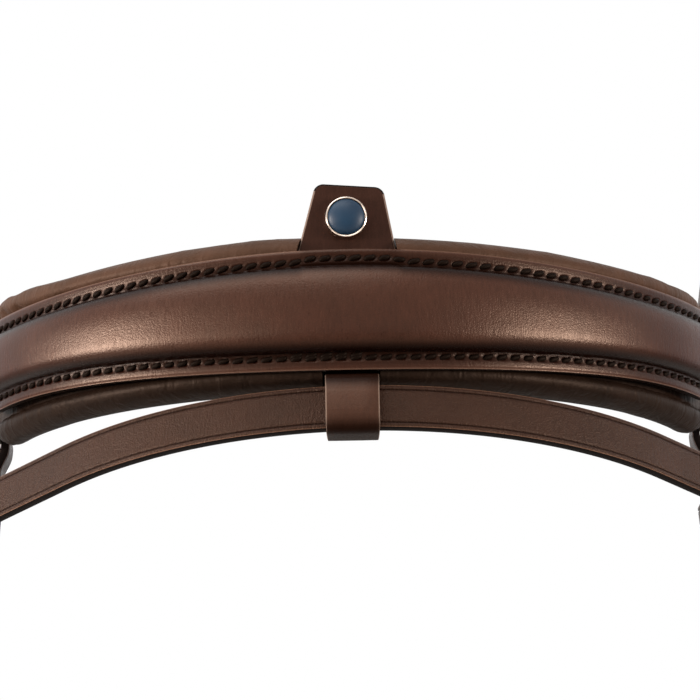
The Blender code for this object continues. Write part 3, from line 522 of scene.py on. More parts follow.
@dataclass(frozen=True)
class BridleLeather(Finish):
    """Vegetable-tanned cowhide, drum-dyed brown and waxed.

    The eye sees a deep brown with a waxy sheen, fine grain streaks across the strap, painted
    shade in creases, grooves, slopes and folds, a band along the rim that is a painted highlight
    where it is paler and edge dye where it is darker, and a duller flesh side. The piece's own UV
    map holds millimetres along the strap and millimetres in from the nearest edge; cut edges and
    the flesh side hold marks below 0. Lines, pitch, folds and the dull run are in millimetres.
    """

    face: str = "#4a2e20"
    # Colour of the painted shade in creases, grooves, slopes and folds.
    painted_shade: str = "#120603"
    # The edge band: a paler rim is a painted highlight, a darker rim is edge dye.
    rim: str = "#190b07"
    edge: str = "#0d0604"
    flesh: str = "#2b1b13"
    roughness: float = 0.35
    crease: float = 0.0
    groove: float = 0.0
    slope: float = 0.0
    border: float = 0.0
    pitch: float = 0.0
    dull_from: float = 0.0
    dull_over: float = 28.0
    dull_middle: float = 8.0
    folds: tuple[Pair, ...] = ()
    relief: float = 1.0
    grain: float = 0.5 * MM
    streak: float = 0.12
    bump: float = 0.5
    gloss: float = 0.26

    def paint(self, tree: bpy.types.NodeTree, shader: bpy.types.Node) -> None:
        """Build the streaked colour with its painted shade and edge band, the masked shine and the grain."""
        here = add_node(tree, "ShaderNodeTexCoord").outputs
        cut = add_node(tree, "ShaderNodeSeparateXYZ", {0: here["UV"]}).outputs
        # Streaks run across the strap, which is upright on the front of the nosepiece.
        stretched = add_node(tree, "ShaderNodeMapping", {0: here["Object"], 3: (1.0, 1.0, 0.2)})
        streaks = noise(tree, stretched.outputs[0], 0.7 * MM, 4.0, roughness=0.65)
        clouds = noise(tree, here["Object"], 14 * MM, 3.0)
        tone = maths(tree, "MULTIPLY", ramp(tree, streaks, 0.3, 0.7, 1 - self.streak, 1 + self.streak),
                     ramp(tree, clouds, 0.3, 0.7, 0.82, 1.16))
        colour = scaled(tree, linear(self.face)[:3], tone)
        # Band along the edge in the rim colour: painted highlight where it is paler than the face, edge dye
        # where it is darker.
        colour = mixed(tree, band(tree, cut["Y"], 0.0, 0.5), colour, linear(self.rim))
        height = add_node(tree, "ShaderNodeSeparateXYZ", {0: here["Object"]}).outputs["Z"]
        polish = self.end_polish(tree, cut["X"])
        # Painted shade: the edge lines and folds darken the colour towards the shade colour and dull the
        # shine.
        for deep in self.shade_lines(tree, cut["X"], cut["Y"]) + self.shade_folds(tree, height):
            colour = mixed(tree, deep, colour, linear(self.painted_shade))
            polish = ramp(tree, deep, 0.0, 1.0, polish, 0.05)
        on_edge = maths(tree, "LESS_THAN", cut["Y"], EDGE_MARK / 2)
        on_flesh = maths(tree, "LESS_THAN", cut["Y"], (EDGE_MARK + FLESH_MARK) / 2)
        colour = mixed(tree, on_edge, colour, linear(self.edge))
        colour = mixed(tree, on_flesh, colour, linear(self.flesh))

        rough = ramp(tree, streaks, 0.3, 0.7, self.roughness - 0.05, self.roughness + 0.08)
        rough = maths(tree, "ADD", rough, maths(tree, "MULTIPLY", on_flesh, 0.35), clamp=True)

        relief = MM * self.relief
        lumps = bumped(tree, cells(tree, here["Object"], self.grain), self.bump * 0.5, 0.08 * relief)
        skin = bumped(tree, noise(tree, here["Object"], self.grain / 2, 3.0), self.bump * 0.6,
                      0.06 * relief, lumps)
        glow = WARM_SHINE
        if isinstance(polish, Socket):
            glow = scaled(tree, WARM_SHINE[:3], polish)
        feed(tree, shader, {"Base Color": colour, "Roughness": rough, "Specular IOR Level": self.gloss,
                            "Specular Tint": glow,
                            "Normal": bumped(tree, streaks, self.bump, 0.10 * relief, skin)})

    def end_polish(self, tree: bpy.types.NodeTree, along: Socket) -> Feed:
        """Return the shine, which fades towards both ends and further out on the left."""
        if not self.dull_from:
            return 1.0
        run = maths(tree, "ABSOLUTE", maths(tree, "ADD", along, self.dull_middle))
        return ramp(tree, run, self.dull_from, self.dull_from + self.dull_over, 1.0, 0.1, smooth=True)

    def shade_lines(self, tree: bpy.types.NodeTree, along: Socket, inset: Socket) -> list[Socket]:
        """Return a mask of painted shade for each line that runs along the edge.

        Args:
            tree: the material's tree.
            along: millimetres along the strap.
            inset: millimetres in from the edge.

        Returns:
            Masks of 0 to 1, from the outer line to the inner one.
        """
        masks = []
        for line, reach, strength in ((self.crease, 0.45, 0.8), (self.border, 1.6, 0.5),
                                      (self.groove, 1.4, 1.0), (self.slope, 3.6, 1.0)):
            if not line:
                continue
            dark = band(tree, inset, line, reach)
            if line == self.groove and self.pitch:
                # The painted shade in the groove is darkest at the stitch holes, once in each pitch.
                turn = maths(tree, "MULTIPLY_ADD", along, math.tau / self.pitch, math.pi)
                holes = ramp(tree, maths(tree, "COSINE", turn), -0.8, 0.2, 0.4, 1.0, smooth=True)
                dark = maths(tree, "MULTIPLY", dark, holes)
            masks.append(maths(tree, "MULTIPLY", dark, strength))
        return masks

    def shade_folds(self, tree: bpy.types.NodeTree, height: Socket) -> list[Socket]:
        """Return a mask for each level at which the leather turns away from the light."""
        masks = []
        for level, reach in self.folds:
            away = maths(tree, "ABSOLUTE", maths(tree, "SUBTRACT", height, level * MM))
            masks.append(ramp(tree, away, 0.3 * reach * MM, reach * MM, 0.9, 0.0, smooth=True))
        return masks


@dataclass(frozen=True)
class Nappa(Finish):
    """Soft glove leather over foam.

    The eye sees a dull brown with tiny pebbles and slack diagonal wrinkles, with painted shade
    that darkens its colour towards the underside.
    """

    name: str = "glove_nappa"
    face: str = "#543b2e"
    hollow: str = "#35271e"

    def paint(self, tree: bpy.types.NodeTree, shader: bpy.types.Node) -> None:
        """Build the patchy colour with painted shade on its underside, the wrinkles and the pebbles."""
        here = add_node(tree, "ShaderNodeTexCoord").outputs["Object"]
        turned = add_node(tree, "ShaderNodeMapping", {0: here, 2: (0.0, math.radians(33.0), 0.0),
                                                      3: (1.0, 1.0, 0.28)})
        folds = noise(tree, turned.outputs[0], 4.5 * MM, 2.0, distortion=0.8)
        patchy = noise(tree, here, 9 * MM, 3.0)
        colour = mixed(tree, patchy, linear(self.hollow), linear(self.face))
        height = add_node(tree, "ShaderNodeSeparateXYZ", {0: here}).outputs["Z"]
        # Painted shade: the colour darkens towards the bottom of the cushion.
        under = ramp(tree, height, -16 * MM, 4 * MM, 0.16, 1.0, smooth=True)
        wrinkled = bumped(tree, folds, 0.6, 1.0 * MM)
        pebbled = bumped(tree, cells(tree, here, 0.7 * MM), 0.3, 0.15 * MM, wrinkled)
        feed(tree, shader, {"Base Color": scaled(tree, colour, under), "Roughness": 0.5,
                            "Specular IOR Level": 0.12, "Specular Tint": WARM_SHINE,
                            "Normal": pebbled})


@dataclass(frozen=True)
class WaxedThread(Finish):
    """Black linen thread pulled through wax: nearly black and dull, so rows read as dark seams."""

    name: str = "waxed_thread"
    face: str = "#0b0503"

    def paint(self, tree: bpy.types.NodeTree, shader: bpy.types.Node) -> None:
        """Build the speckled colour and the rough lay."""
        here = add_node(tree, "ShaderNodeTexCoord").outputs["Object"]
        speck = noise(tree, here, 0.3 * MM, 2.0)
        feed(tree, shader, {"Base Color": mixed(tree, speck, linear("#0c0604"), linear(self.face)),
                            "Roughness": 0.55, "Specular IOR Level": 0.06,
                            "Specular Tint": linear("#ffe0c8"),
                            "Normal": bumped(tree, speck, 0.4, 0.12 * MM)})


@dataclass(frozen=True)
class PolishedSteel(Finish):
    """Cast stainless steel, barrel-polished: a bright mirror with soft scuffs."""

    face: str = "#d8cfc6"
    roughness: float = 0.16

    def paint(self, tree: bpy.types.NodeTree, shader: bpy.types.Node) -> None:
        """Build the metal and its scuffs."""
        here = add_node(tree, "ShaderNodeTexCoord").outputs["Object"]
        scuffs = noise(tree, here, 1.6 * MM, 5.0, roughness=0.7)
        rough = ramp(tree, scuffs, 0.35, 0.7, self.roughness - 0.05, self.roughness + 0.12)
        feed(tree, shader, {"Base Color": mixed(tree, scuffs, linear("#bdb3aa"), linear(self.face)),
                            "Roughness": rough, "Metallic": 1.0})


@dataclass(frozen=True)
class DomedStone(Finish):
    """A dark blue glass cabochon: opaque and deep navy, with a soft highlight on its dome."""

    name: str = "blue_cabochon"

    def paint(self, tree: bpy.types.NodeTree, shader: bpy.types.Node) -> None:
        """Build the cloudy blue and its shine."""
        here = add_node(tree, "ShaderNodeTexCoord").outputs["Object"]
        depth = noise(tree, here, 6 * MM, 2.0)
        feed(tree, shader, {"Base Color": mixed(tree, depth, linear("#0a2136"), linear("#13334b")),
                            "Roughness": 0.46, "Specular IOR Level": 0.32})


@dataclass(frozen=True)
class PlainFinish(Finish):
    """A cut edge or the cork core: plain and matt, with a slight mottle."""

    face: str
    other: str
    roughness: float = 0.7
    size: float = 0.8 * MM
    gloss: float = 0.2

    def paint(self, tree: bpy.types.NodeTree, shader: bpy.types.Node) -> None:
        """Build the mottled colour."""
        here = add_node(tree, "ShaderNodeTexCoord").outputs["Object"]
        mottle = noise(tree, here, self.size, 3.0)
        feed(tree, shader, {"Base Color": mixed(tree, mottle, linear(self.face), linear(self.other)),
                            "Roughness": self.roughness, "Specular IOR Level": self.gloss})


# The raised front: glossiest, with painted shade on the border, the stitch grooves and the slope under a
# bright panel, and a pale rim that is partly burnished and partly painted highlight.
FRONT_LEATHER = BridleLeather("nose_front_leather", face="#351b12", rim="#5d4438", border=1.8, groove=3.3,
                              slope=5.2, pitch=4.0, dull_from=86.0, roughness=0.31, gloss=0.36,
                              relief=1.4)
# The inner strap: plain and nearly matt.
BACK_LEATHER = BridleLeather("nose_backing_leather", face="#2c1b13", gloss=0.05)
# All straps: dark with coarse grain, painted shade in the crease line and a pale painted highlight along the
# rim.
STRAP_LEATHER = BridleLeather("waxed_strap_leather", face="#2d1a12", rim="#85614d", crease=1.5, bump=1.0,
                              gloss=0.2, relief=2.8)
# The flash loop: lighter, with a pale painted highlight along its rim, and painted shade where it turns
# under at its top and its lower end.
LOOP_LEATHER = BridleLeather("flash_loop_leather", face="#3d251b", rim="#8c7769", gloss=0.28,
                             folds=((-17.5, 6.0), (-36.0, 6.5)))
# The tab: a duller mid brown, with a faint painted highlight along its rim.
TAB_LEATHER = BridleLeather("flash_tab_leather", face="#33201a", rim="#4d352a", gloss=0.12)
# Cut sides that show pale, partly raw edge and partly painted highlight; waxed sides that show black; and
# the hidden core.
PALE_EDGE_AND_HIGHLIGHT = PlainFinish("pale_cut_edge_and_highlight", "#8c7a70", "#6d584c")
DARK_EDGE = PlainFinish("waxed_dark_edge", "#090504", "#120a07", 0.5, gloss=0.05)
CORK = PlainFinish("cork_core", "#8a6a48", "#6b4d31", 0.85, 1.5 * MM)
NAPPA = Nappa()
THREAD = WaxedThread()
# Rings and buckles, and the stud's warmer rim.
STEEL = PolishedSteel("polished_steel")
RIM = PolishedSteel("polished_rim", "#dcc6b5", 0.2)
STONE = DomedStone()


# Making pieces

def finish_piece(name: str, shape: bmesh.types.BMesh, body: str, finishes: Sequence[Finish],
                 nodes: Iterable[str] = (), smooth: float = 40.0) -> bpy.types.Object:
    """Turn a bmesh into a shown piece that rides on its body.

    Args:
        name: the piece's name.
        shape: its mesh, freed here.
        body: the body it moves with.
        finishes: a finish for each material index.
        nodes: solids that it stands for.
        smooth: edges sharper than this many degrees stay sharp.

    Returns:
        The piece.
    """
    mesh = bpy.data.meshes.new(name)
    shape.to_mesh(mesh)
    shape.free()
    for finish in finishes:
        mesh.materials.append(finish.material())
    mesh.shade_smooth()
    mesh.set_sharp_from_angle(angle=math.radians(smooth))
    piece = bpy.data.objects.new(name, mesh)
    bpy.context.scene.collection.objects.link(piece)
    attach(piece, body)
    nodes = list(nodes)
    if nodes:
        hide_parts(*nodes)
    LOG.info("%s rides on %s, %d faces", name, body, len(mesh.polygons))
    return piece


def refinish(node: str, finish: Finish) -> None:
    """Give a solid that is shown as it is another finish."""
    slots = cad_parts[node].data.materials
    slots.clear()
    slots.append(finish.material())


def extruded_bar(outline: Sequence[Pair], count: int) -> bmesh.types.BMesh:
    """Extrude a closed outline into a bar along X, with a ring of points at 0, 1, 2 and so on.

    Args:
        outline: points (y, z) of the section.
        count: steps along the bar.

    Returns:
        The closed bar.
    """
    shape = bmesh.new()
    verts = [shape.verts.new((0.0, y, z)) for y, z in outline]
    edges = [shape.edges.new((verts[i], verts[(i + 1) % len(verts)])) for i in range(len(verts))]
    bmesh.ops.spin(shape, geom=verts + edges, cent=(0, 0, 0), axis=(1, 0, 0), dvec=(1.0, 0.0, 0.0),
                   angle=0.0, steps=count, use_duplicate=False)
    bmesh.ops.holes_fill(shape, edges=[e for e in shape.edges if e.is_boundary], sides=0)
    bmesh.ops.recalc_face_normals(shape, faces=shape.faces)
    return shape


def swept_tube(path: Sequence[Vector], radii: Sequence[float], sides: int,
               closed: bool = False) -> bmesh.types.BMesh:
    """Extrude a circle along a path, step by step.

    Args:
        path: the centre's points.
        radii: a radius for each point.
        sides: corners of the circle.
        closed: whether the last point joins the first.

    Returns:
        The closed tube.
    """
    shape = bmesh.new()
    count = len(path)
    normal = Vector((0.0, 0.0, 0.0))
    for i in range(count):
        normal += (path[i] - path[i - 1]).cross(path[(i + 1) % count] - path[i])
    normal = normal.normalized() if normal.length > 1e-12 else Vector((0.0, 0.0, 1.0))
    rings, edges = [], []
    for i, (point, radius) in enumerate(zip(path, radii)):
        before = path[i - 1] if i or closed else point
        after = path[(i + 1) % count] if i + 1 < count or closed else point
        along = (after - before).normalized()
        across = along.cross(normal).normalized()
        if i == 0:
            made = bmesh.ops.create_circle(shape, segments=sides, radius=1.0)
            ring = list(made["verts"])
            edges = list({e for v in ring for e in v.link_edges})
            unit = [v.co.copy() for v in ring]
        else:
            made = bmesh.ops.extrude_edge_only(shape, edges=edges)
            fresh = [g for g in made["geom"] if isinstance(g, bmesh.types.BMVert)]
            edges = [g for g in made["geom"] if isinstance(g, bmesh.types.BMEdge)
                     and all(v in fresh for v in g.verts)]
            follows = {}
            for v in fresh:
                for e in v.link_edges:
                    other = e.other_vert(v)
                    if other in rings[-1]:
                        follows[rings[-1].index(other)] = v
            ring = [follows[k] for k in range(sides)]
        for vert, base in zip(ring, unit):
            vert.co = point + across * base.x * radius + normal * base.y * radius
        rings.append(ring)
    if closed:
        bmesh.ops.bridge_loops(shape, edges=[e for e in shape.edges if e.is_boundary])
    else:
        bmesh.ops.holes_fill(shape, edges=[e for e in shape.edges if e.is_boundary], sides=0)
    bmesh.ops.recalc_face_normals(shape, faces=shape.faces)
    return shape


def spun(profile: Sequence[Pair], centre: Vector, axis: Vector, steps: int) -> bmesh.types.BMesh:
    """Spin a profile of (radius, height) right round an axis.

    Args:
        profile: an open run that starts and ends on the axis, or a closed one clear of it.
        centre: the point of height 0 on the axis.
        axis: the direction of height.
        steps: steps of the turn.

    Returns:
        The turned solid.
    """
    shape = bmesh.new()
    side = axis.orthogonal().normalized()
    verts = [shape.verts.new(centre + side * r + axis * h) for r, h in profile]
    pairs = list(zip(verts, verts[1:]))
    if profile[0][0] > 0:
        pairs.append((verts[-1], verts[0]))
    edges = [shape.edges.new(pair) for pair in pairs]
    bmesh.ops.spin(shape, geom=verts + edges, cent=centre, axis=axis, angle=math.tau, steps=steps,
                   use_merge=True, use_duplicate=False)
    bmesh.ops.remove_doubles(shape, verts=shape.verts, dist=1e-6)
    bmesh.ops.recalc_face_normals(shape, faces=shape.faces)
    return shape


def without(shape: bmesh.types.BMesh, cutter: bmesh.types.BMesh, solver: str = "EXACT") -> bmesh.types.BMesh:
    """Cut one closed mesh out of another with a Boolean.

    Args:
        shape: the mesh that is cut, freed here.
        cutter: the mesh that cuts it, freed here.
        solver: the Boolean's solver.

    Returns:
        The cut mesh.
    """
    pair = []
    for label, part in (("blank", shape), ("punch", cutter)):
        mesh = bpy.data.meshes.new(label)
        part.to_mesh(mesh)
        part.free()
        pair.append(bpy.data.objects.new(label, mesh))
        bpy.context.scene.collection.objects.link(pair[-1])
    change = pair[0].modifiers.new("Punch", "BOOLEAN")
    change.operation, change.solver, change.object = "DIFFERENCE", solver, pair[1]
    bpy.context.view_layer.update()
    seen = pair[0].evaluated_get(bpy.context.evaluated_depsgraph_get())
    made = bmesh.new()
    made.from_mesh(seen.to_mesh())
    seen.to_mesh_clear()
    for thing in pair:
        mesh = thing.data
        bpy.data.objects.remove(thing)
        bpy.data.meshes.remove(mesh)
    return made


class StrapLine:
    """The middle of a strap's thickness, as points (u, v) on its route."""

    def __init__(self, points: Sequence[Pair], pitch: float) -> None:
        """Keep the line and the stations that it is read at.

        Args:
            points: the line.
            pitch: the widest spacing of the stations.
        """
        kept = [points[0]]
        for point in points[1:]:
            if math.dist(point, kept[-1]) > 0.02 * MM:
                kept.append(point)
        self.points = np.array(kept)
        steps = np.hypot(*np.diff(self.points, axis=0).T)
        self.reach = np.concatenate([[0.0], np.cumsum(steps)])
        slopes = np.gradient(self.points, self.reach, axis=0)
        self.slopes = slopes / np.hypot(*slopes.T)[:, None]
        self.stations = [0.0]
        for start, length in zip(self.reach, steps):
            count = max(1, math.ceil(length / pitch))
            self.stations += [start + length * (k + 1) / count for k in range(count)]

    def at(self, s: float) -> tuple[float, float, float, float]:
        """Read the line at a distance.

        Args:
            s: distance along it.

        Returns:
            The point (u, v) and the direction (du, dv).
        """
        u, v = (np.interp(s, self.reach, self.points[:, k]) for k in (0, 1))
        du, dv = (np.interp(s, self.reach, self.slopes[:, k]) for k in (0, 1))
        size = math.hypot(du, dv)
        return float(u), float(v), du / size, dv / size


@dataclass
class Strap:
    """One leather strap, cut flat, creased, punched and then bent along its line."""

    name: str
    body: str
    place: Place
    line: Sequence[Pair]
    width: float
    thickness: float
    finish: BridleLeather
    slot: str = "strap_leather"
    pitch: float = 1.5 * MM
    corner: float = 0.55 * MM
    crease: float = 0.0
    half_at: Callable[[float, float], float] | None = None
    thick_at: Callable[[float], float] | None = None
    holes: Sequence[Pair] = ()
    slots: Sequence[tuple[float, float, float]] = ()
    edges: tuple = (DARK_EDGE,)

    def section(self) -> list[Pair]:
        """Return the section's outline as (thickness, width) points."""
        half, t, r = self.width / 2, self.thickness / 2, self.corner
        front = [(t - r, 0.0), (t - 0.3 * r, 0.3 * r), (t, r)]
        if self.crease:
            c = self.crease
            front += [(t + 0.04 * MM, (r + c) / 2), (t, c - 0.32 * MM), (t - 0.24 * MM, c),
                      (t, c + 0.32 * MM), (t + 0.02 * MM, c + 0.9 * MM)]
        front += [(t + 0.02 * MM, half * 0.6)]
        back = [(-t + r, 0.0), (-t + 0.3 * r, 0.3 * r), (-t, r)]
        outline = [(y, d - half) for y, d in front] + [(t + 0.02 * MM, 0.0)]
        outline += [(y, half - d) for y, d in front[::-1]]
        outline += [(y, half - d) for y, d in back] + [(-t, 0.0)]
        return outline + [(y, d - half) for y, d in back[::-1]]

    def flat(self, line: StrapLine) -> bmesh.types.BMesh:
        """Cut the strap flat, with its holes and slots punched."""
        shape = extruded_bar(self.section(), len(line.stations) - 1)
        for vert in shape.verts:
            vert.co.x = line.stations[round(vert.co.x)]
        if self.holes or self.slots:
            punch = bmesh.new()
            upright = Matrix.Rotation(math.pi / 2, 4, "X")
            for s, radius in self.holes:
                bmesh.ops.create_cone(punch, cap_ends=True, segments=20, radius1=radius, radius2=radius,
                                      depth=4 * self.thickness,
                                      matrix=Matrix.Translation((s, 0.0, 0.0)) @ upright)
            for start, end, wide in self.slots:
                size = Matrix.Diagonal((end - start, 4 * self.thickness, wide, 1.0))
                bmesh.ops.create_cube(punch, size=1.0,
                                      matrix=Matrix.Translation(((start + end) / 2, 0.0, 0.0)) @ size)
            shape = without(shape, punch)
        return shape

    def build(self, nodes: Iterable[str]) -> bpy.types.Object:
        """Make the strap and hang it on its body.

        Args:
            nodes: solids that it stands for.

        Returns:
            The piece.
        """
        line = StrapLine(self.line, self.pitch)
        shape = self.flat(line)
        shape.faces.ensure_lookup_table()
        uv = shape.loops.layers.uv.new("Strap")
        half0 = self.width / 2
        halves = {}
        for vert in shape.verts:
            u, v, du, dv = line.at(vert.co.x)
            half = self.half_at(u, v) if self.half_at else half0
            halves[vert.index] = (half, u, v, du, dv)
        shape.normal_update()
        for face in shape.faces:
            n = face.normal
            side = abs(n.z) > 0.8 or abs(n.x) > 0.8
            if side:
                face.material_index = 1
            for loop in face.loops:
                co = loop.vert.co
                inset = half0 - abs(co.z)
                depth = EDGE_MARK if side else FLESH_MARK if n.y < -0.2 else inset / MM
                loop[uv].uv = (co.x / MM, depth)
        for vert in shape.verts:
            half, u, v, du, dv = halves[vert.index]
            t = vert.co.y
            if self.thick_at:
                t *= self.thick_at(u) / self.thickness
            vert.co = self.place(u - dv * t, v + du * t, vert.co.z * half / half0)
        bmesh.ops.recalc_face_normals(shape, faces=shape.faces)
        finishes = [self.finish, *self.edges]
        return finish_piece(self.name, shape, self.body, finishes, nodes)


def fold(wire_at: float, direction: int, leaf_v: float, bulge: float,
         stretch: float = 0.0) -> list[Pair]:
    """Return the (u, v) points of a strap that folds round a wire.

    Args:
        wire_at: the wire's place along the strap.
        direction: 1 or -1, the way the strap comes.
        leaf_v: offset of the leaf that it comes along.
        bulge: its distance from the wire's centre as it passes.
        stretch: how much longer the turn is made.

    Returns:
        The points of the leaf, the turn and the leaf back.
    """
    side = math.copysign(1.0, leaf_v)
    leaf = []
    for k in range(9):
        share = k / 8
        leaf.append((wire_at - direction * FOLD_RUN * (1 - share),
                     side * blend(abs(leaf_v), bulge, share)))
    turn = []
    for k in range(17):
        angle = math.pi * k / 16
        turn.append((wire_at + direction * (stretch + bulge * math.sin(angle)),
                     side * bulge * math.cos(angle)))
    return leaf + turn + [(u, -v) for u, v in leaf[::-1]]


def ring_stretch(width: float) -> float:
    """How much longer a fold is because the ring curves away across its width."""
    inside = RING_R - RING_WIRE
    return inside - math.sqrt(inside ** 2 - (width / 2) ** 2)


@dataclass
class Stitching:
    """A run of hand stitches, each a short two-ply lozenge that dips into its holes."""

    name: str
    body: str
    place: Place
    length: float = 3.4 * MM
    thick: float = 1.2 * MM
    slant: float = math.radians(19.0)
    proud: float = 0.1 * MM
    dip: float = 0.45 * MM
    ply: float = 0.12
    unevenness: float = 0.05
    slot: str = "strap_leather"

    def build(self, stitches: Sequence[tuple[float, float, float, float]]) -> bpy.types.Object:
        """Make the stitches as one piece.

        Args:
            stitches: each stitch's u, surface height v, w and the angle of its row.

        Returns:
            The piece.
        """
        shape = bmesh.new()
        for number, (u, v, w, angle) in enumerate(stitches):
            made = bmesh.ops.create_uvsphere(shape, u_segments=10, v_segments=9, radius=1.0)
            wobble = self.unevenness * math.sin(number * GOLDEN_TURN)
            turn = angle + self.slant * (1 + 2 * wobble)
            for vert in made["verts"]:
                a, b, c = vert.co.z, vert.co.x, vert.co.y
                ply = 1 + self.ply * math.cos(2 * math.atan2(c, b) + 5.0 * a)
                fat = (1 - a ** 4) ** 0.3 if abs(a) < 1 else 0.0
                from_axis = math.hypot(b, c) or 1.0
                b, c = b / from_axis * fat * ply, c / from_axis * fat * ply
                along = a * self.length / 2 * (1 + wobble)
                across, out = b * self.thick / 2, c * self.thick / 2
                out += self.proud - self.dip * a * a
                vert.co = self.place(u + along * math.cos(turn) - across * math.sin(turn), v + out,
                                     w + along * math.sin(turn) + across * math.cos(turn))
        bmesh.ops.recalc_face_normals(shape, faces=shape.faces)
        return finish_piece(self.name, shape, self.body, [THREAD], smooth=80.0)


@dataclass
class RollerBuckle:
    """A square cast frame with a prong on its bar and a roller on its far side."""

    prefix: str
    body: str
    place: Place
    bar_at: float
    length: float
    strap_width: float
    wire: float = BAR_WIRE
    wall: float = 0.9 * MM
    prong: float = 1.0 * MM
    gap: float = 0.3 * MM
    corner: float = 2.6 * MM
    play: float = 0.8 * MM

    def spot(self, u: float, v: float, w: float) -> Vector:
        """Place a point counted from the bar."""
        return self.place(self.bar_at + u, v, w)

    def frame(self) -> None:
        """Make the frame."""
        half = self.strap_width / 2 + self.play + self.wire
        flat = [Vector((0, -half, 0)), Vector((0, half, 0)), Vector((self.length, half, 0)),
                Vector((self.length, -half, 0))]
        loop = rounded([flat[-1]] + flat + [flat[0]], self.corner, 6)[1:-1]
        path = [self.spot(p.x, 0.0, p.y) for p in loop]
        shape = swept_tube(path, [self.wire] * len(path), 16, True)
        finish_piece(self.prefix + "_buckle_frame", shape, self.body, [STEEL],
                     [self.prefix + "_buckle"])

    def roller(self) -> None:
        """Make the roller, with softly turned ends and a closed seam line."""
        half = self.strap_width / 2 + self.play + self.wire - self.corner - self.wire / 2
        bore, outer, soft = self.wire + self.gap, self.wire + self.gap + self.wall, 0.25 * MM
        profile = [(bore, -half), (outer - soft, -half), (outer - 0.3 * soft, -half + 0.3 * soft),
                   (outer, -half + soft), (outer, half - soft), (outer - 0.3 * soft, half - 0.3 * soft),
                   (outer - soft, half), (bore, half)]
        centre = self.spot(self.length, 0.0, 0.0)
        axis = (self.spot(self.length, 0.0, MM) - centre).normalized()
        finish_piece(self.prefix + "_roller_tube", spun(profile, centre, axis, 40), self.prefix + "_roller",
                     [STEEL], [self.prefix + "_roller"])

    def tongue(self) -> None:
        """Make the prong: a hook round the bar and a shaft that rests on the roller."""
        hook_r = self.wire + self.gap + self.prong
        rest = self.wire + 2 * self.gap + self.wall + self.prong
        path = [(hook_r * math.cos(math.radians(a)), hook_r * math.sin(math.radians(a)))
                for a in np.linspace(320.0, 90.0, 22)]
        path += [(self.length * s, blend(hook_r, rest, s)) for s in (0.12, 0.25, 0.45, 0.6, 0.8, 0.95)]
        path.append((self.length + (rest - self.prong - self.gap) * 0.8, rest - self.prong * 0.3))
        radii = [self.prong] * (len(path) - 4) + [self.prong * s for s in (0.95, 0.9, 0.82, 0.62)]
        points = [self.spot(u, v, 0.0) for u, v in path]
        finish_piece(self.prefix + "_prong_wire", swept_tube(points, radii, 14), self.prefix + "_prong",
                     [STEEL], [self.prefix + "_prong"])

    def build(self) -> None:
        """Make all three parts of the buckle."""
        self.frame()
        self.roller()
        self.tongue()


@dataclass
class Keeper:
    """A narrow leather band round a strap, its ends butted behind."""

    node: str
    body: str
    place: Place
    at: float
    strap_width: float
    low: float
    high: float
    width: float = 7.0 * MM
    thickness: float = 1.4 * MM
    play: float = 0.4 * MM

    def build(self) -> None:
        """Bend a short strap round its rectangle."""
        t, half = self.thickness / 2, self.strap_width / 2 + self.play
        low, high, half = self.low - t, self.high + t, half + t
        corners = [Vector((0, low, 0)), Vector((half, low, 0)), Vector((half, high, 0)),
                   Vector((-half, high, 0)), Vector((-half, low, 0)), Vector((-0.02 * MM, low, 0))]
        path = [(p.x, p.y) for p in rounded(corners, 0.9 * MM, 6)]

        def wrapped(a: float, b: float, c: float) -> Vector:
            """Read the band's own coordinates in the strap's."""
            return self.place(self.at + c, b, a)

        Strap(self.node + "_band", self.body, wrapped, [(a, b) for a, b in path[::-1]], self.width,
              self.thickness, STRAP_LEATHER, pitch=1.2 * MM, corner=0.4 * MM,
              crease=1.3 * MM).build([self.node])


# Nosepiece

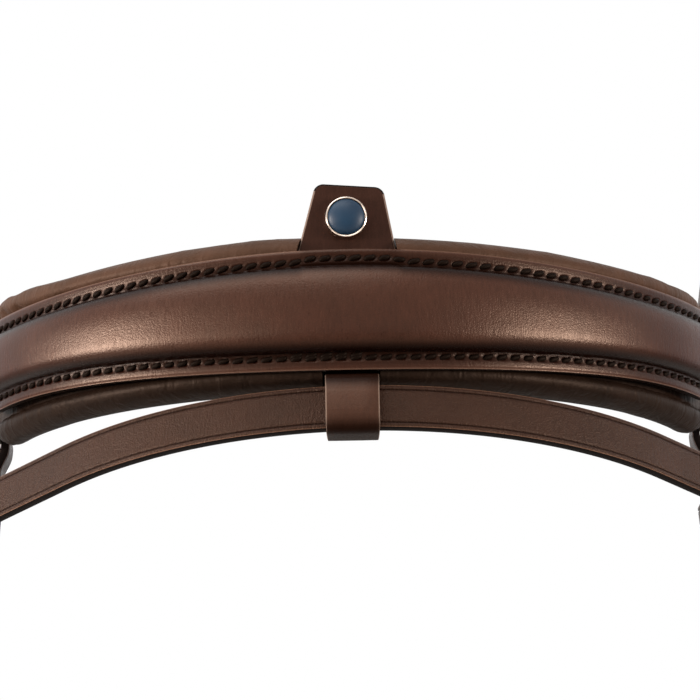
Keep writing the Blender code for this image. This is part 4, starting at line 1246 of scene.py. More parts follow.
@dataclass
class Nosepiece:
    """The padded arch: raised front leather, cork core, backing and cushion, with its rings."""

    height: float = 33.7 * MM
    end_height: float = 26.7 * MM
    narrowing: float = 118.0 * MM
    half_run: float = 138.0 * MM
    taper: float = 14.0 * MM
    tip_height: float = 17.0 * MM
    leather: float = 2.3 * MM
    seam: float = 0.15 * MM
    border: float = 4.75 * MM
    rise: float = 3.75 * MM
    crest: float = -0.25
    row: float = 3.3 * MM
    pitch: float = 4.0 * MM
    backing: float = 2.2 * MM
    fold_width: float = 12.0 * MM
    step_up: float = 0.75 * MM
    pad_bed: float = -2.65 * MM
    pad_deep: float = -13.65 * MM
    pad_top: float = 22.0 * MM
    pad_top_end: float = 19.8 * MM
    pad_run: float = 148.0 * MM
    pad_rounding: float = 20.0 * MM
    puff_lift: float = 0.8 * MM
    puff_most: float = 1.1 * MM
    puff_steps: int = 20
    ring_points: int = 72

    def half(self, u: float) -> float:
        """Half height of the front leather at a distance from the middle."""
        u = abs(u)
        half = blend(self.height / 2, self.end_height / 2, u / self.narrowing)
        past = (u - (self.half_run - self.taper)) / self.taper
        if past > 0:
            rounding = 1 - math.sqrt(max(0.0, 1 - min(past, 1.0) ** 2))
            half -= (self.end_height - self.tip_height) / 2 * rounding
        return half

    def backing_half(self, u: float) -> float:
        """Half height of the backing, which narrows to fold round the ring."""
        u = abs(u)
        start = self.half_run - self.taper
        wide = self.half(min(u, start)) - 1.5 * MM
        return blend(wide, self.fold_width / 2, (u - start) / (WIRE_U - FOLD_RUN - start))

    def row_shift(self, u: float, top: bool) -> float:
        """How far the top stitch row steps up where it crosses the flash tab."""
        if not top:
            return 0.0
        return self.step_up * blend(1.0, 0.0, (abs(u - 1 * MM) - 11.5 * MM) / (3 * MM))

    def surface(self, u: float, w: float) -> float:
        """Height of the front leather's face: border, stitch groove and raised panel.

        Args:
            u: distance along the nosepiece from its middle.
            w: height above its middle line.

        Returns:
            The height v above the seam.
        """
        base = self.seam + self.leather
        side, tip = self.half(u) - abs(w), self.half_run - abs(u)
        inset = side
        if tip <= 12 * MM:
            inset = min(side, tip) + 0.5 * MM * blend(1.0, 0.0, abs(side - tip) / (3 * MM))
        shift = self.row_shift(u, w > 0)
        groove = abs(inset - self.row + shift) / (1.25 * MM)
        lean = (inset - self.row) * 0.9
        between = 0.5 + 0.5 * math.cos(math.tau * ((u + lean) / self.pitch + 0.5))
        dip = (0.05 + 0.65 * between) * MM * max(0.0, 1 - groove ** 2) ** 2
        roll = 0.28 * MM * math.exp(-(inset / (0.5 * MM)) ** 2)
        inside = inset - self.border
        panel = self.half(u) - self.border
        if inside <= 0:
            line = 0.16 * MM * max(0.0, 1 - (abs(inside + 0.25 * MM) / (0.4 * MM)) ** 2)
            return base - dip - roll - line
        crest = self.crest * panel
        share = min(abs(w - crest) / (panel - crest if w > crest else panel + crest), 1.0)
        if tip < 20 * MM:
            share = max(share, 1 - inside / panel)
        return base + self.rise * (1 - share ** (2.5 if w > crest else 3.6)) ** 0.56

    def front(self) -> None:
        """Make the front leather from a fine grid, shaped and given its thickness."""
        # Rows of points, in mm in from the edge: close over the border, wider over the panel.
        fine = [k * 0.25 for k in range(32)]
        depths = [0.0, 0.1] + fine[1:] + [8.6, 9.5, 10.5, 11.6, 12.8, 14.0, 15.5]
        half0 = self.height / 2 / MM
        across = sorted({round(s * (half0 - d), 4) for d in depths for s in (1, -1)} | {0.0})
        steps, rows = 368, len(across) - 1
        shape = bmesh.new()
        bmesh.ops.create_grid(shape, x_segments=steps, y_segments=rows, size=1.0)
        spot = shape.verts.layers.float_vector.new("spot")
        for vert in shape.verts:
            u = self.half_run * (2 * round((vert.co.x + 1) / 2 * steps) / steps - 1)
            w = across[round((vert.co.y + 1) / 2 * rows)] / half0 * self.half(u)
            vert[spot] = Vector((u, w, 0.0))
        made = bmesh.ops.extrude_face_region(shape, geom=list(shape.faces), use_keep_orig=True)
        back = {g for g in made["geom"] if isinstance(g, bmesh.types.BMVert)}
        uv = shape.loops.layers.uv.new("Strap")
        for face in shape.faces:
            behind = sum(vert in back for vert in face.verts)
            for loop in face.loops:
                u, w, _ = loop.vert[spot]
                inset = min(self.half(u) - abs(w), self.half_run - abs(u)) + self.row_shift(u, w > 0)
                depth = max(inset, 0.05 * MM) / MM
                if behind:
                    depth = EDGE_MARK if behind < len(face.verts) else FLESH_MARK
                loop[uv].uv = (u / MM, depth)
        for vert in shape.verts:
            u, w, _ = vert[spot]
            v = self.surface(u, w)
            if vert in back:
                v = max(self.seam, v - self.leather)
            vert.co = NOSE.place(u, v, w)
        bmesh.ops.recalc_face_normals(shape, faces=shape.faces)
        finish_piece("nose_front_leather", shape, Body.NOSEPIECE.value, [FRONT_LEATHER],
                     ["nose_leather"], smooth=60.0)

    def stitches(self) -> None:
        """Sew both rows, round the tips, and the doubled back stitches under the tab."""
        last = self.half_run - self.row
        face = self.seam + self.leather - THREAD_SUNK
        rows: list[tuple[float, float, float, float]] = []

        def sew(u: float, w: float, angle: float) -> None:
            """Lay one stitch on the leather's face."""
            rows.append((u, face, w, angle))

        count = int(last / self.pitch)
        for k in range(-count, count):
            u = (k + 0.5) * self.pitch
            for sign in (1, -1):
                row = [sign * (self.half(x) - self.row) + self.row_shift(x, sign > 0)
                       for x in (u - MM, u, u + MM)]
                sew(u, row[1], math.atan2(row[2] - row[0], 2 * MM))
        for k in range(5):
            u = (k - 3.6) * self.pitch + 0.4 * MM
            sew(u, -(self.half(u) - self.row) + self.step_up, 0.0)
        Stitching("nose_stitches", Body.NOSEPIECE.value, NOSE.place, thick=1.35 * MM,
                  slot="nose_leather").build(rows)
        ends = []
        for side in (1, -1):
            reach = self.half(last) - self.row
            for k in range(5):
                w = reach * (k - 2) / 2.5
                ends.append((side * last, face, w, math.pi / 2))
        Stitching("nose_tip_stitches", Body.NOSEPIECE.value, NOSE.place, thick=1.35 * MM,
                  slot="nose_leather").build(ends)

    def backing_strap(self) -> None:
        """Make the backing, which folds round both rings."""
        leaf = (self.backing + LEAF_GAP) / 2
        start = self.half_run + LEAF_GAP
        bulge = RING_WIRE + LEAF_GAP + self.backing / 2
        stations = np.linspace(0.0, WIRE_U - FOLD_RUN, 60)
        right = [(float(u), -leaf) for u in stations[:-1]]
        right += fold(WIRE_U, 1, -leaf, bulge, ring_stretch(self.fold_width)) + [(start, leaf)]
        line = [(-u, v) for u, v in right[:0:-1]] + right
        Strap("nose_backing_leather", Body.NOSEPIECE.value, NOSE.place, line, 2 * self.backing_half(0.0),
              self.backing, BACK_LEATHER, slot="backing_leather", pitch=2.5 * MM,
              half_at=lambda u, v: self.backing_half(u)).build(["nose_backing"])
        for sign in (1, -1):
            ends = []
            for k in range(3):
                u = sign * (WIRE_U - 10 * MM - k * 3.2 * MM)
                for w in (3.6 * MM, -3.6 * MM):
                    ends.append((u, leaf + self.backing / 2, w, 0.0))
            Stitching("fold_stitches_" + ("right" if sign > 0 else "left"), Body.NOSEPIECE.value, NOSE.place,
                      length=2.8 * MM, thick=0.8 * MM, proud=0.05 * MM).build(ends)

    def pad_point(self, u: float, v: float, w: float) -> tuple[float, float]:
        """Scale a point of the padding's middle section to a station along it.

        Args:
            u: distance from the middle.
            v: the point's depth in the middle section.
            w: its height there.

        Returns:
            The depth and height at the station.
        """
        share = min(abs(u) / self.narrowing, 1.0)
        slack = (self.puff_lift + 0.6 * MM * blend(0.0, 1.0, -u / (30 * MM))
                 + 1.5 * MM * blend(0.0, 1.0, (-u - 85 * MM) / (50 * MM)))
        edge = (blend(self.pad_top, self.pad_top_end, share) + slack) / self.pad_top if w > 0 else 1.0
        past = max(0.0, (abs(u) - (self.pad_run - self.pad_rounding)) / self.pad_rounding)
        shrink = 0.5 + 0.5 * math.sqrt(max(0.0, 1 - min(past, 1.0) ** 2))
        return self.pad_bed + (v - self.pad_bed) * shrink, w * edge * shrink

    def padding(self) -> bpy.types.Object:
        """Make the cushion: two rolls round a bed, puffed by a short cloth simulation."""
        bed_v, bed_w, deep = self.pad_bed, 15.45 * MM, self.pad_deep
        roll_v = bed_v + 1.6 * MM
        thick = roll_v - deep
        edge = self.pad_top
        side = [(bed_v, bed_w * 0.5), (bed_v, bed_w * 0.93)]
        side += [(roll_v - thick * d, bed_w + (edge - bed_w) * o)
                 for d, o in ((0.0, 0.3), (0.12, 0.76), (0.36, 1.0))]
        side += [(roll_v - thick * d, edge * o) for d, o in ((0.62, 0.985), (0.86, 0.8))]
        side += [(deep, 8.0 * MM), (deep, 3.0 * MM)]
        outline = smooth_loop(side + [(v, -w) for v, w in side[::-1]], 4)
        steps = 150
        shape = extruded_bar(outline, steps)
        pins = []
        for vert in shape.verts:
            u = self.pad_run * (2 * vert.co.x / steps - 1)
            v, w = self.pad_point(u, vert.co.y, vert.co.z)
            if v > bed_v - 0.4 * MM and abs(vert.co.z) < bed_w * 0.97 or v < deep + 0.5 * MM:
                pins.append(vert.index)
            vert.co = NOSE.place(u, v, w)
        bmesh.ops.recalc_face_normals(shape, faces=shape.faces)
        rest = [vert.co.copy() for vert in shape.verts]
        piece = finish_piece("nose_padding_cushion", shape, Body.NOSEPIECE.value, [NAPPA],
                             ["nose_padding"], smooth=75.0)
        self.puff(piece, rest, pins)
        self.pocket(piece)
        return piece

    def pocket(self, piece: bpy.types.Object) -> None:
        """Cut the pocket that the flash attachment passes through.

        Args:
            piece: the cushion.
        """
        wide, narrow, shift = 14.0 * MM, 7.7 * MM, 0.8 * MM
        turn_z, low_z = 8.65 * MM, -26 * MM
        front, floor, deep = -20.0 * MM, -5.44 * MM, -3.54 * MM
        low, high = (13.5 * MM, 19.3 * MM), (11.8 * MM, 26.0 * MM)

        def prism(outline: Sequence[Pair], back: float) -> bmesh.types.BMesh:
            """Extrude an (x, z) outline from well in front to a depth."""
            cutter = bmesh.new()
            leaning = [(x + max(0.0, z - CREASE_Z) * 0.05, z) for x, z in outline]
            face = cutter.faces.new([cutter.verts.new((x, front, z)) for x, z in leaning])
            made = bmesh.ops.extrude_face_region(cutter, geom=[face])
            for vert in [g for g in made["geom"] if isinstance(g, bmesh.types.BMVert)]:
                vert.co.y = back
            bmesh.ops.recalc_face_normals(cutter, faces=cutter.faces)
            return cutter

        through = [high, (wide, CREASE_Z), (wide, turn_z), (narrow + shift, -turn_z),
                   (narrow + shift, low_z), (shift - narrow, low_z), (-narrow, -turn_z),
                   (-wide, turn_z), (-wide, CREASE_Z), (-high[0], high[1])]
        recess = [high, low, (-low[0], low[1]), (-high[0], high[1])]
        shape = bmesh.new()
        shape.from_mesh(piece.data)
        # The exact solver once left nothing of the cushion, for a cause not found.
        for outline, back in ((through, floor), (recess, deep)):
            shape = without(shape, prism(outline, back), "MANIFOLD")
        shape.to_mesh(piece.data)
        shape.free()
        piece.data.shade_smooth()
        piece.data.set_sharp_from_angle(angle=math.radians(60.0))

    def puff(self, piece: bpy.types.Object, rest: list[Vector], pins: list[int]) -> None:
        """Swell the leather over the foam with pressure, and keep each point near its place.

        The simulation doesn't repeat exactly, so the cushion differs a little from run to run.

        Args:
            piece: the cushion.
            rest: its points before.
            pins: points that the backing or the nose holds.
        """
        group = piece.vertex_groups.new(name="held")
        group.add(pins, 1.0, "REPLACE")
        cloth = piece.modifiers.new("Puff", "CLOTH")
        settings = cloth.settings
        settings.quality = 4
        settings.mass = 0.2
        settings.use_pressure = True
        settings.uniform_pressure_force = 4.0
        settings.tension_stiffness = settings.compression_stiffness = 12.0
        settings.bending_stiffness = 0.3
        settings.shrink_min = -0.025
        settings.vertex_group_mass = "held"
        settings.effector_weights.gravity = 0.0
        cloth.collision_settings.use_collision = False
        scene = bpy.context.scene
        for number in range(1, self.puff_steps + 1):
            scene.frame_set(number)
        seen = piece.evaluated_get(bpy.context.evaluated_depsgraph_get())
        moved = [v.co.copy() for v in seen.data.vertices]
        piece.modifiers.remove(cloth)
        piece.vertex_groups.remove(group)
        scene.frame_set(1)
        for vert, before, after in zip(piece.data.vertices, rest, moved):
            step = after - before
            if step.length > self.puff_most:
                step *= self.puff_most / step.length
            vert.co = before + step
        piece.data.update()

    def rings(self) -> None:
        """Make the two cast rings that the straps fold round."""
        for side in Side:
            turns = [math.tau * k / self.ring_points for k in range(self.ring_points)]
            path = [Vector((side.value * WIRE_X, RING_Y + RING_R * math.cos(a), RING_R * math.sin(a)))
                    for a in turns]
            name = "ring_" + side.word
            finish_piece(name + "_steel", swept_tube(path, [RING_WIRE] * len(path), 18, True), name,
                         [STEEL], [name])

    def build(self) -> None:
        """Make the whole nosepiece."""
        self.front()
        self.stitches()
        self.backing_strap()
        self.padding()
        self.rings()
        refinish("nose_filler", CORK)


# Flash attachment

@dataclass
class FlashAttachment:
    """The leather that carries the flash strap: a loop, and a tab closed by a press stud."""

    leaf: float = 2.0 * MM
    front_y: float = -9.041 * MM
    back_y: float = -6.741 * MM
    spread: float = 1.9 * MM
    base: float = 27.2 * MM
    top: float = 18.2 * MM
    crease_z: float = CREASE_Z
    top_z: float = 36.4 * MM
    corner: float = 2.6 * MM
    lean: float = 0.95 * MM
    tab_gap: float = 0.15 * MM
    slope: float = 0.075
    bulge: float = 0.7 * MM
    belly: float = 1.5 * MM
    room: float = 0.5 * MM
    loop_width: float = 14.6 * MM
    shift: float = 0.8 * MM
    stud_z: float = 26.8 * MM
    bezel: float = 12.0 * MM
    bezel_height: float = 2.4 * MM
    rim: float = 0.78 * MM

    def loop_line(self) -> list[Pair]:
        """Return the loop's line as (y, z) points, from the crease round the strap and up."""
        tilt = FLASH.tilt
        strap = Vector((FLASH.apex[1], FLASH.apex[2], 0.0))
        up = Vector((math.sin(tilt), math.cos(tilt), 0.0))
        out = Vector((-up.y, up.x, 0.0))
        across = FLASH_WIDTH / 2 + self.room + self.leaf / 2
        low = across - 0.2 * MM
        away = FLASH_THICK / 2 + self.room + self.leaf / 2
        spread_y = self.back_y + self.spread
        under = -16.85 * MM - 0.6 * MM - self.leaf / 2
        line = [Vector((self.front_y, self.crease_z - self.tab_gap, 0)), Vector((self.front_y, under, 0)),
                *(strap + up * across * k / 6 + out * (away + self.belly * (1 - abs(k / 6) ** 3))
                  for k in range(6, -6, -1)),
                strap - up * low + out * away, strap - up * low - out * away,
                Vector((self.back_y, strap.y + 4 * MM, 0)), Vector((self.back_y, 20.3 * MM, 0)),
                Vector((spread_y, 22.2 * MM, 0)), Vector((spread_y, self.top_z, 0))]
        return [(p.x, p.y) for p in rounded(line, 1.8 * MM, 8)][::-1]

    def half_at(self, y: float, z: float) -> float:
        """Half width of the loop and its back tab at a height."""
        if z > self.crease_z:
            share = (z - self.crease_z) / (self.top_z - self.crease_z)
            past = max(0.0, z - (self.top_z - self.corner)) / self.corner
            off = self.corner * (1 - math.sqrt(max(0.0, 1 - min(past, 1.0) ** 2)))
            return self.base / 2 + (self.top - self.base) / 2 * share - off
        low = min(max(0.0, -32.0 * MM - z) / (3.5 * MM), 1.0)
        plain = blend(self.base / 2, self.loop_width / 2, (self.crease_z - z) / self.crease_z)
        return plain - 0.55 * MM * low ** 2

    def loop(self) -> None:
        """Make the strip, wide at the tab and narrow round the flash strap."""
        def place(y: float, z: float, x: float) -> Vector:
            """Shift the loop to the right of the tab as it goes down, and lean the tab."""
            lean = self.lean * max(0.0, z - self.crease_z) / (self.top_z - self.crease_z)
            shift = blend(self.shift, 0.0, (z + self.crease_z) / self.crease_z)
            return Vector((x + lean + shift, y, z))

        Strap("flash_loop_strip", Body.NOSEPIECE.value, place, self.loop_line(), self.loop_width, self.leaf,
              LOOP_LEATHER, slot="attachment_leather", pitch=1.0 * MM, corner=0.28 * MM,
              half_at=self.half_at, edges=(PALE_EDGE_AND_HIGHLIGHT,)).build(["flash_loop"])

    def tab(self) -> None:
        """Make the front tab: pale sides that are partly a painted highlight, a waxed top edge and softly
        rounded corners.
        """
        low = self.crease_z + self.tab_gap
        corners = [Vector((-self.base / 2, low, 0)), Vector((-self.top / 2, self.top_z, 0)),
                   Vector((self.top / 2, self.top_z, 0)), Vector((self.base / 2, low, 0))]
        outline = [(p.x, p.y) for p in rounded(corners, self.corner, 8)]
        inner_y, outer_y = self.front_y + self.leaf / 2, self.front_y - self.leaf / 2
        shape = bmesh.new()
        face = shape.faces.new([shape.verts.new((x, inner_y, z)) for x, z in outline])
        made = bmesh.ops.extrude_face_region(shape, geom=[face])
        for vert in [g for g in made["geom"] if isinstance(g, bmesh.types.BMVert)]:
            vert.co.y -= self.leaf
        bmesh.ops.recalc_face_normals(shape, faces=shape.faces)
        rim = [e for e in shape.edges if all(abs(v.co.y - outer_y) < 1e-6 for v in e.verts)]
        bmesh.ops.bevel(shape, geom=rim, offset=0.5 * MM, segments=2, profile=0.5, affect="EDGES",
                        material=-1)
        front = [f for f in shape.faces if f.normal.y < -0.99]
        for step in (0.35, 0.45, 0.5):
            bmesh.ops.inset_region(shape, faces=front, thickness=step * MM, use_even_offset=True)
        uv = shape.loops.layers.uv.new("Strap")
        spots = [Vector((x, 0.0, z)) for x, z in outline]
        for face in shape.faces:
            n = face.normal
            centre = face.calc_center_median()
            if abs(n.y) < 0.93:
                # Sides take the pale edge, which is partly a painted highlight; the top edge stays dark.
                at_side = centre.z < self.top_z - self.corner and abs(centre.x) > 8 * MM
                face.material_index = 1 if at_side else 2
            for loop in face.loops:
                spot = Vector((loop.vert.co.x, 0.0, loop.vert.co.z))
                near = 1.0
                for a, b in zip(spots, spots[1:]):
                    share = min(max((spot - a).dot(b - a) / (b - a).length_squared, 0.0), 1.0)
                    near = min(near, (spot - a - (b - a) * share).length)
                loop[uv].uv = (spot.x / MM, near / MM if n.y < 0.5 else FLESH_MARK)
        for vert in shape.verts:
            share = (vert.co.z - low) / (self.top_z - low)
            side = vert.co.x / (self.base / 2)
            vert.co.z -= self.slope * vert.co.x * share
            vert.co.x += self.lean * share + self.bulge * side * 4 * share * (1 - share)
        finish_piece("flash_tab", shape, Body.TAB.value, [TAB_LEATHER, PALE_EDGE_AND_HIGHLIGHT, DARK_EDGE],
                     ["tab_front"])

    def stud(self) -> None:
        """Make the stud's rim and its blue stone, and finish the press parts behind."""
        face = Vector((0.0, self.front_y - self.leaf / 2 - LEAF_GAP, self.stud_z))
        axis = Vector((0.0, -1.0, 0.0))
        floor, outer = self.bezel_height / 3, self.bezel / 2
        inner, high, soft = outer - self.rim, self.bezel_height, 0.22 * MM
        behind, shank = -self.leaf - LEAF_GAP, 1.5 * MM
        profile = [(0.0, floor), (inner, floor), (inner, high - soft),
                   (inner + 0.2 * soft, high - 0.3 * soft), (inner + soft, high),
                   (outer - 0.35 * MM, high - 0.12 * MM), (outer - 0.1 * MM, high * 0.62), (outer, floor),
                   (outer - 0.3 * MM, 0.0), (shank, 0.0), (shank, behind), (0.0, behind)]
        finish_piece("stud_rim", spun(profile, face, axis, 64), Body.TAB.value, [RIM],
                     ["stud_bezel"])
        glass = inner - 0.12 * MM
        base = floor + 0.3 * MM + (high - floor) * 0.4
        seat, dome_height = floor + 0.1 * MM, 2.3 * MM
        dome = [(glass * math.sin(a), base + dome_height * math.cos(a))
                for a in np.linspace(0.0, math.pi / 2, 20)]
        finish_piece("stud_stone", spun(dome + [(glass, seat), (0.0, seat)], face, axis, 64),
                     Body.TAB.value, [STONE], ["stud_glass"])
        for name in ("stud_socket", "stud_ball"):
            refinish(name, STEEL)

    def build(self) -> None:
        """Make the whole attachment."""
        self.loop()
        self.tab()
        self.stud()


# Straps

def pointed(width: float, tip: float, u: float) -> float:
    """Half width of a strap that ends in a point at tip, u running towards it."""
    run, blunt = 12 * MM, 2.2 * MM
    share = min(max((tip - u) / run, 0.0), 1.0)
    return blunt + (width / 2 - blunt) * math.sin(math.pi / 2 * share)


def prong_slot(line: Sequence[Pair], bar_at: float) -> list[tuple[float, float, float]]:
    """Find the slot that lets the prong through a strap folded round its bar.

    Args:
        line: the strap's line.
        bar_at: the bar's place along the strap.

    Returns:
        The slot's start and end along the line, and its width.
    """
    made = StrapLine(line, 0.25 * MM)
    inside = [s for s in made.stations if bar_at - SLOT_BEFORE < made.at(s)[0] < bar_at + SLOT_PAST]
    return [(min(inside), max(inside), SLOT_WIDTH)]


def doubled_line(length: float, thickness: float, ring_width: float, count: int) -> list[Pair]:
    """Lay out a doubled strap between its ring and its buckle, its ends butted behind.

    Args:
        length: from the ring's wire to the buckle's bar.
        thickness: the leather's thickness.
        ring_width: its width at the ring.
        count: stations between the two folds.

    Returns:
        The strap's line.
    """
    leaf, seam = (thickness + LEAF_GAP) / 2, length / 2
    line = [(seam - LEAF_GAP, -leaf)]
    line += fold(0.0, -1, -leaf, RING_WIRE + LEAF_GAP + thickness / 2, ring_stretch(ring_width))
    line += [(float(u), leaf) for u in np.linspace(FOLD_RUN, length - FOLD_RUN, count)[1:-1]]
    return line + fold(length, 1, leaf, BAR_WIRE + LEAF_GAP + thickness / 2) + [(seam, -leaf)]


@dataclass
class FlashStrap:
    """The long thin strap that runs through the loop, with its buckle and keepers."""

    width: float = FLASH_WIDTH
    thickness: float = FLASH_THICK
    fold_thickness: float = 1.8 * MM
    buckle_run: float = 62.0 * MM
    tip_run: float = 140.0 * MM
    holes: int = 6
    hole_pitch: float = 18.0 * MM
    buckle_length: float = 17.0 * MM
    skived: float = 21 * MM

    @property
    def bar_at(self) -> float:
        """The buckle's bar along the strap."""
        return FLASH.bend_end + self.buckle_run

    def thick(self, u: float) -> float:
        """The strap's thickness, skived where it folds."""
        thinned = 1 - (self.bar_at - self.skived - u) / END_RUN
        return blend(self.thickness, self.fold_thickness, thinned)

    def build(self) -> None:
        """Make the strap, its buckle, its keeper and its runner."""
        tip = FLASH.bend_end + self.tip_run
        leaf = (self.fold_thickness + LEAF_GAP) / 2
        line = [(float(u), 0.0) for u in np.linspace(-tip, self.bar_at - 35 * MM, 260)]
        line += [(self.bar_at - self.skived - END_RUN * (1 - s), blend(0.0, leaf, s))
                 for s in (0.25, 0.5, 0.75, 1.0)]
        line += fold(self.bar_at, 1, leaf, BAR_WIRE + LEAF_GAP + self.fold_thickness / 2)
        line += [(self.bar_at - 20 * MM, -leaf)]
        first = tip - 24 * MM
        holes = [(tip - (first - k * self.hole_pitch), HOLE_RADIUS) for k in range(self.holes)]
        Strap("flash_strap_leather", Body.FLASH.value, FLASH.place, line, self.width, self.thickness,
              STRAP_LEATHER, pitch=1.6 * MM, crease=1.5 * MM, holes=holes,
              slots=prong_slot(line, self.bar_at), half_at=lambda u, v: pointed(self.width, tip, -u),
              thick_at=self.thick).build(["flash_strap"])
        rows = [(self.bar_at - 8 * MM - k * 2.6 * MM, leaf + self.fold_thickness / 2, w, 0.0)
                for k in range(4) for w in (4.6 * MM, -4.6 * MM)]
        Stitching("flash_stitches", Body.FLASH.value, FLASH.place, length=2.4 * MM, thick=0.7 * MM,
                  proud=0.05 * MM).build(rows)
        RollerBuckle("flash", Body.FLASH.value, FLASH.place, self.bar_at, self.buckle_length,
                     self.width).build()
        room = leaf + self.fold_thickness / 2 + LEAF_GAP
        Keeper("flash_keeper", Body.FLASH.value, FLASH.place, self.bar_at - 16 * MM, self.width, -room,
               room + self.thickness + LEAF_GAP).build()
        low = -self.thickness / 2 - LEAF_GAP
        Keeper("flash_runner", "flash_runner", FLASH.place, self.bar_at - 46 * MM, self.width, low,
               self.thickness - low + LEAF_GAP).build()


@dataclass
class ChinStrap:
    """The lower strap: a short buckle end on the right ring and a long billet from the left."""

    width: float = 16.0 * MM
    end_width: float = 12.0 * MM
    short_thickness: float = 2.2 * MM
    billet_thickness: float = 2.6 * MM
    bar_at: float = 50.0 * MM
    tip_at: float = 12.0 * MM
    holes: int = 6
    hole_pitch: float = 22.0 * MM
    buckle_length: float = 20.0 * MM
    billet_return: float = 30.0 * MM

    def half(self, wire_at: float, u: float) -> float:
        """Half width, narrower where the strap folds round its ring."""
        return blend(self.end_width, self.width, (abs(u - wire_at) - FOLD_RUN) / END_RUN) / 2

    def short_end(self) -> None:
        """Make the doubled strap that carries the buckle."""
        t = self.short_thickness
        line = doubled_line(self.bar_at, t, self.end_width, 18)
        Strap("chin_buckle_end", Body.CHIN.value, CHIN.place, line, self.width, t, STRAP_LEATHER,
              crease=1.5 * MM, slots=prong_slot(line, self.bar_at),
              half_at=lambda u, v: self.half(0.0, u)).build(["chin_buckle_strap"])
        leaf = (t + LEAF_GAP) / 2
        rows = [(u * MM, -leaf - t / 2, w, 0.0) for u in (8.4, 10.8, 41.0)
                for w in (4.7 * MM, -4.7 * MM)]
        Stitching("chin_stitches", Body.CHIN.value, CHIN.place, length=2.5 * MM, thick=0.6 * MM,
                  proud=-0.12 * MM).build(rows)

    def billet(self) -> None:
        """Make the long strap, threaded through the buckle on its loosest hole."""
        t, total = self.billet_thickness, CHIN.track.length
        leaf = (self.short_thickness + LEAF_GAP) / 2
        # It lies on the short end, climbs over the bar's fold and dives under the roller.
        over = leaf + self.short_thickness / 2 + LEAF_GAP + t / 2
        crest = 1.6 * MM + self.short_thickness + LEAF_GAP + t / 2 + LEAF_GAP
        under = -(2.5 * MM + LEAF_GAP + t / 2 + LEAF_GAP)
        far = self.bar_at + self.buckle_length
        line = [(self.tip_at + 12 * MM * s, over) for s in (0.0, 0.1, 0.25, 0.4, 0.7, 1.0)]
        line += [(self.bar_at - FOLD_RUN * (2 - s), blend(over, crest, s / 2 * 1.4))
                 for s in (0.0, 0.25, 0.5, 0.75, 1.0, 1.25, 1.5)]
        line += [(self.bar_at + MM, crest)]
        dive = self.buckle_length - 2 * MM
        line += [(self.bar_at + MM + dive * s, blend(crest, under, s))
                 for s in np.linspace(0.0, 1.0, 17)[1:]]
        line += [(far + 2 * MM, under)]
        line += [(far + FOLD_RUN * (0.5 + s), blend(under, 0.0, s / 3))
                 for s in (0.4, 0.75, 1.1, 1.5, 1.9, 2.25, 3.0)]
        back = (t + LEAF_GAP) / 2
        steady = total - self.billet_return - END_RUN
        line += [(float(u), 0.0) for u in np.linspace(far + 24.5 * MM, steady, 110)[1:]]
        line += [(steady + FOLD_RUN * s, blend(0.0, back, s / 2)) for s in (0.5, 1.0, 1.5, 2.0)]
        line += [(total - self.billet_return / 2, back)]
        line += fold(total, 1, back, RING_WIRE + LEAF_GAP + t / 2, ring_stretch(self.end_width))
        line += [(total - self.billet_return, -back)]
        path = StrapLine(line, 0.5 * MM)
        first = far + 2 * self.hole_pitch
        wanted = [first + k * self.hole_pitch for k in range(self.holes)]
        wanted.append(self.bar_at + self.buckle_length * 0.5)
        holes = [(min(path.stations, key=lambda s: abs(path.at(s)[0] - u)), HOLE_RADIUS) for u in wanted]

        def half_at(u: float, v: float) -> float:
            """Half width, pointed at the tip and narrow at the ring."""
            return min(pointed(self.width, -self.tip_at, -u), self.half(total, u))

        Strap("chin_billet_leather", Body.CHIN.value, CHIN.place, line, self.width, t, STRAP_LEATHER,
              crease=1.5 * MM, holes=holes, half_at=half_at).build(["chin_billet"])
        rows = [(total - u * MM, back + t / 2, w, 0.0) for u in (10.5, 13.3, 16.1, 18.9, 21.7)
                for w in (4.7 * MM, -4.7 * MM)]
        Stitching("billet_stitches", Body.CHIN.value, CHIN.place, length=2.5 * MM, thick=0.7 * MM,
                  proud=0.05 * MM).build(rows)

    def build(self) -> None:
        """Make both ends, the buckle, the keeper and the runner."""
        self.short_end()
        self.billet()
        RollerBuckle("chin", Body.CHIN.value, CHIN.place, self.bar_at, self.buckle_length,
                     self.width).build()
        leaf = (self.short_thickness + LEAF_GAP) / 2
        low = -leaf - self.short_thickness / 2 - LEAF_GAP
        high = leaf + self.short_thickness / 2 + LEAF_GAP + self.billet_thickness + LEAF_GAP
        for node, body, back in (("chin_keeper", Body.CHIN.value, 16.0),
                                 ("chin_runner", "chin_runner", 27.2)):
            Keeper(node, body, CHIN.place, self.bar_at - back * MM, self.width, low, high).build()


@dataclass
class Hanger:
    """A short doubled strap from a ring up to the buckle that the bridle's cheek strap takes."""

    side: Side
    width: float = 12.7 * MM
    end_width: float = 10.0 * MM
    thickness: float = 2.0 * MM
    length: float = 78.0 * MM
    buckle_length: float = 18.0 * MM

    def build(self) -> None:
        """Make the strap, its buckle, its keeper and its runner."""
        name, place, t = "hanger_" + self.side.word, HangerRoute(self.side).place, self.thickness
        line = doubled_line(self.length, t, self.end_width, 30)
        Strap(name + "_leather", name, place, line, self.width, t, STRAP_LEATHER, crease=1.5 * MM,
              slots=prong_slot(line, self.length),
              half_at=lambda u, v: blend(self.end_width, self.width, (u - FOLD_RUN) / END_RUN) / 2
              ).build([name + "_strap"])
        leaf = (t + LEAF_GAP) / 2
        rows = [(u * MM, leaf + t / 2, w, 0.0) for u in (9.5, 12.3, 15.1, 17.9, 66.0, 68.8)
                for w in (4.1 * MM, -4.1 * MM)]
        Stitching(name + "_stitches", name, place, length=2.4 * MM, thick=0.7 * MM,
                  proud=0.05 * MM).build(rows)
        RollerBuckle(name, name, place, self.length, self.buckle_length, self.width).build()
        room = leaf + t / 2 + LEAF_GAP
        for node, body, back in (("_keeper", name, 16.0), ("_runner", name + "_runner", 38.4)):
            Keeper(name + node, body, place, self.length - back * MM, self.width, -room,
                   room + 3.2 * MM).build()


# Studio

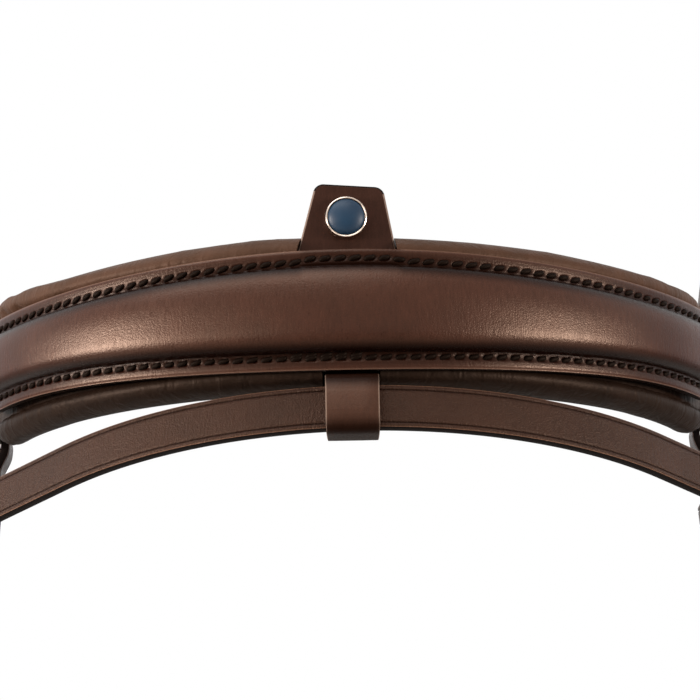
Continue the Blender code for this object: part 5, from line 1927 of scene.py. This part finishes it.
@dataclass
class Studio:
    """Pale floor, soft lamps and the camera, set for a low, straight view of the front."""

    distance: float = 1.0
    focal_px: float = 3676.0
    frame_px: float = 700.0
    elevation: float = math.radians(-12.97)
    roll: float = math.radians(1.05)
    centre_px: Pair = (347.9, 308.85)
    target: tuple[float, float, float] = (0.0, -16.1 * MM, 0.0)
    sensor: float = 36.0
    floor_z: float = -0.32
    floor_half: float = 4.0

    def camera(self) -> None:
        """Set the camera from the photograph's vanishing and scale."""
        data = bpy.data.cameras.new("camera")
        data.sensor_width = self.sensor
        data.lens = self.sensor * self.focal_px / self.frame_px
        data.shift_x = (self.frame_px / 2 - self.centre_px[0]) / self.frame_px
        data.shift_y = (self.centre_px[1] - self.frame_px / 2) / self.frame_px
        data.clip_start, data.clip_end = 0.01, 20.0
        e = -self.elevation
        ahead = Vector((0.0, math.cos(e), math.sin(e)))
        right = Vector((1.0, 0.0, 0.0))
        up = right.cross(ahead)
        turned_right = right * math.cos(self.roll) - up * math.sin(self.roll)
        turned_up = right * math.sin(self.roll) + up * math.cos(self.roll)
        turn = Matrix((turned_right, turned_up, -ahead)).transposed()
        camera = bpy.data.objects.new("camera", data)
        camera.matrix_world = Matrix.Translation(Vector(self.target) - ahead * self.distance) @ turn.to_4x4()
        bpy.context.scene.collection.objects.link(camera)
        bpy.context.scene.camera = camera

    def lamp(self, name: str, azimuth: float, elevation: float, away: float, size: Pair, power: float,
             colour: str = "#ffffff") -> None:
        """Hang one softbox that faces the nosepiece.

        Args:
            name: its name.
            azimuth: degrees round from the front, positive to the right.
            elevation: degrees above the horizon.
            away: distance from the nosepiece.
            size: width and height.
            power: watts.
            colour: its sRGB colour.
        """
        data = bpy.data.lights.new(name, "AREA")
        data.shape, data.size, data.size_y = "RECTANGLE", size[0], size[1]
        data.energy, data.color = power, linear(colour)[:3]
        a, e = math.radians(azimuth), math.radians(elevation)
        back = Vector((math.sin(a) * math.cos(e), -math.cos(a) * math.cos(e), math.sin(e)))
        lamp = bpy.data.objects.new(name, data)
        lamp.location = Vector((0.0, 0.03, 0.0)) + back * away
        lamp.rotation_mode = "QUATERNION"
        lamp.rotation_quaternion = (-back).to_track_quat("-Z", "Y")
        bpy.context.scene.collection.objects.link(lamp)

    def world(self) -> None:
        """White for the eye and in reflections, a soft grey as light."""
        world = bpy.data.worlds.new("studio")
        bpy.context.scene.world = world
        world.use_nodes = True
        tree = world.node_tree
        path = add_node(tree, "ShaderNodeLightPath")
        seen = maths(tree, "MAXIMUM", path.outputs["Is Camera Ray"], path.outputs["Is Glossy Ray"])
        seen = maths(tree, "MAXIMUM", seen, path.outputs["Is Transmission Ray"])
        feed(tree, tree.nodes["Background"], {0: (1.0, 1.0, 1.0, 1.0),
                                              1: ramp(tree, seen, 0.0, 1.0, 0.12, 1.0)})

    def floor(self) -> None:
        """Lay a wide pale floor below the hanging straps; it throws little light back up."""
        shape = bmesh.new()
        bmesh.ops.create_grid(shape, x_segments=1, y_segments=1, size=self.floor_half,
                              matrix=Matrix.Translation((0.0, 0.0, self.floor_z)))
        mesh = bpy.data.meshes.new("floor")
        shape.to_mesh(mesh)
        shape.free()
        made, tree, shader = new_material("pale_floor")
        path = add_node(tree, "ShaderNodeLightPath")
        colour = mixed(tree, path.outputs["Is Diffuse Ray"], linear("#f2f1ef"), linear("#3a3938"))
        feed(tree, shader, {"Base Color": colour, "Roughness": 0.9})
        mesh.materials.append(made)
        floor = bpy.data.objects.new("floor", mesh)
        bpy.context.scene.collection.objects.link(floor)

    def build(self) -> None:
        """Set up the whole studio."""
        bpy.context.scene.view_settings.view_transform = "Standard"
        self.camera()
        self.world()
        self.floor()
        warm = "#fff2e8"
        self.lamp("left_softbox", -74.0, 3.0, 1.0, (0.44, 0.22), 13.5, warm)
        self.lamp("left_fill", -42.0, 2.0, 1.0, (0.50, 0.22), 2.0, warm)
        self.lamp("right_softbox", 63.0, 1.0, 1.0, (0.40, 0.20), 10.5, warm)
        self.lamp("top_softbox", -36.0, 58.0, 1.0, (1.1, 0.6), 7.4)


def main() -> None:
    """Build the noseband's looks, piece by piece, and report them."""
    logging.basicConfig(level=logging.INFO, format="%(message)s")
    Studio().build()
    Nosepiece().build()
    FlashAttachment().build()
    FlashStrap().build()
    ChinStrap().build()
    for side in Side:
        Hanger(side).build()


if __name__ == "__main__":
    main()
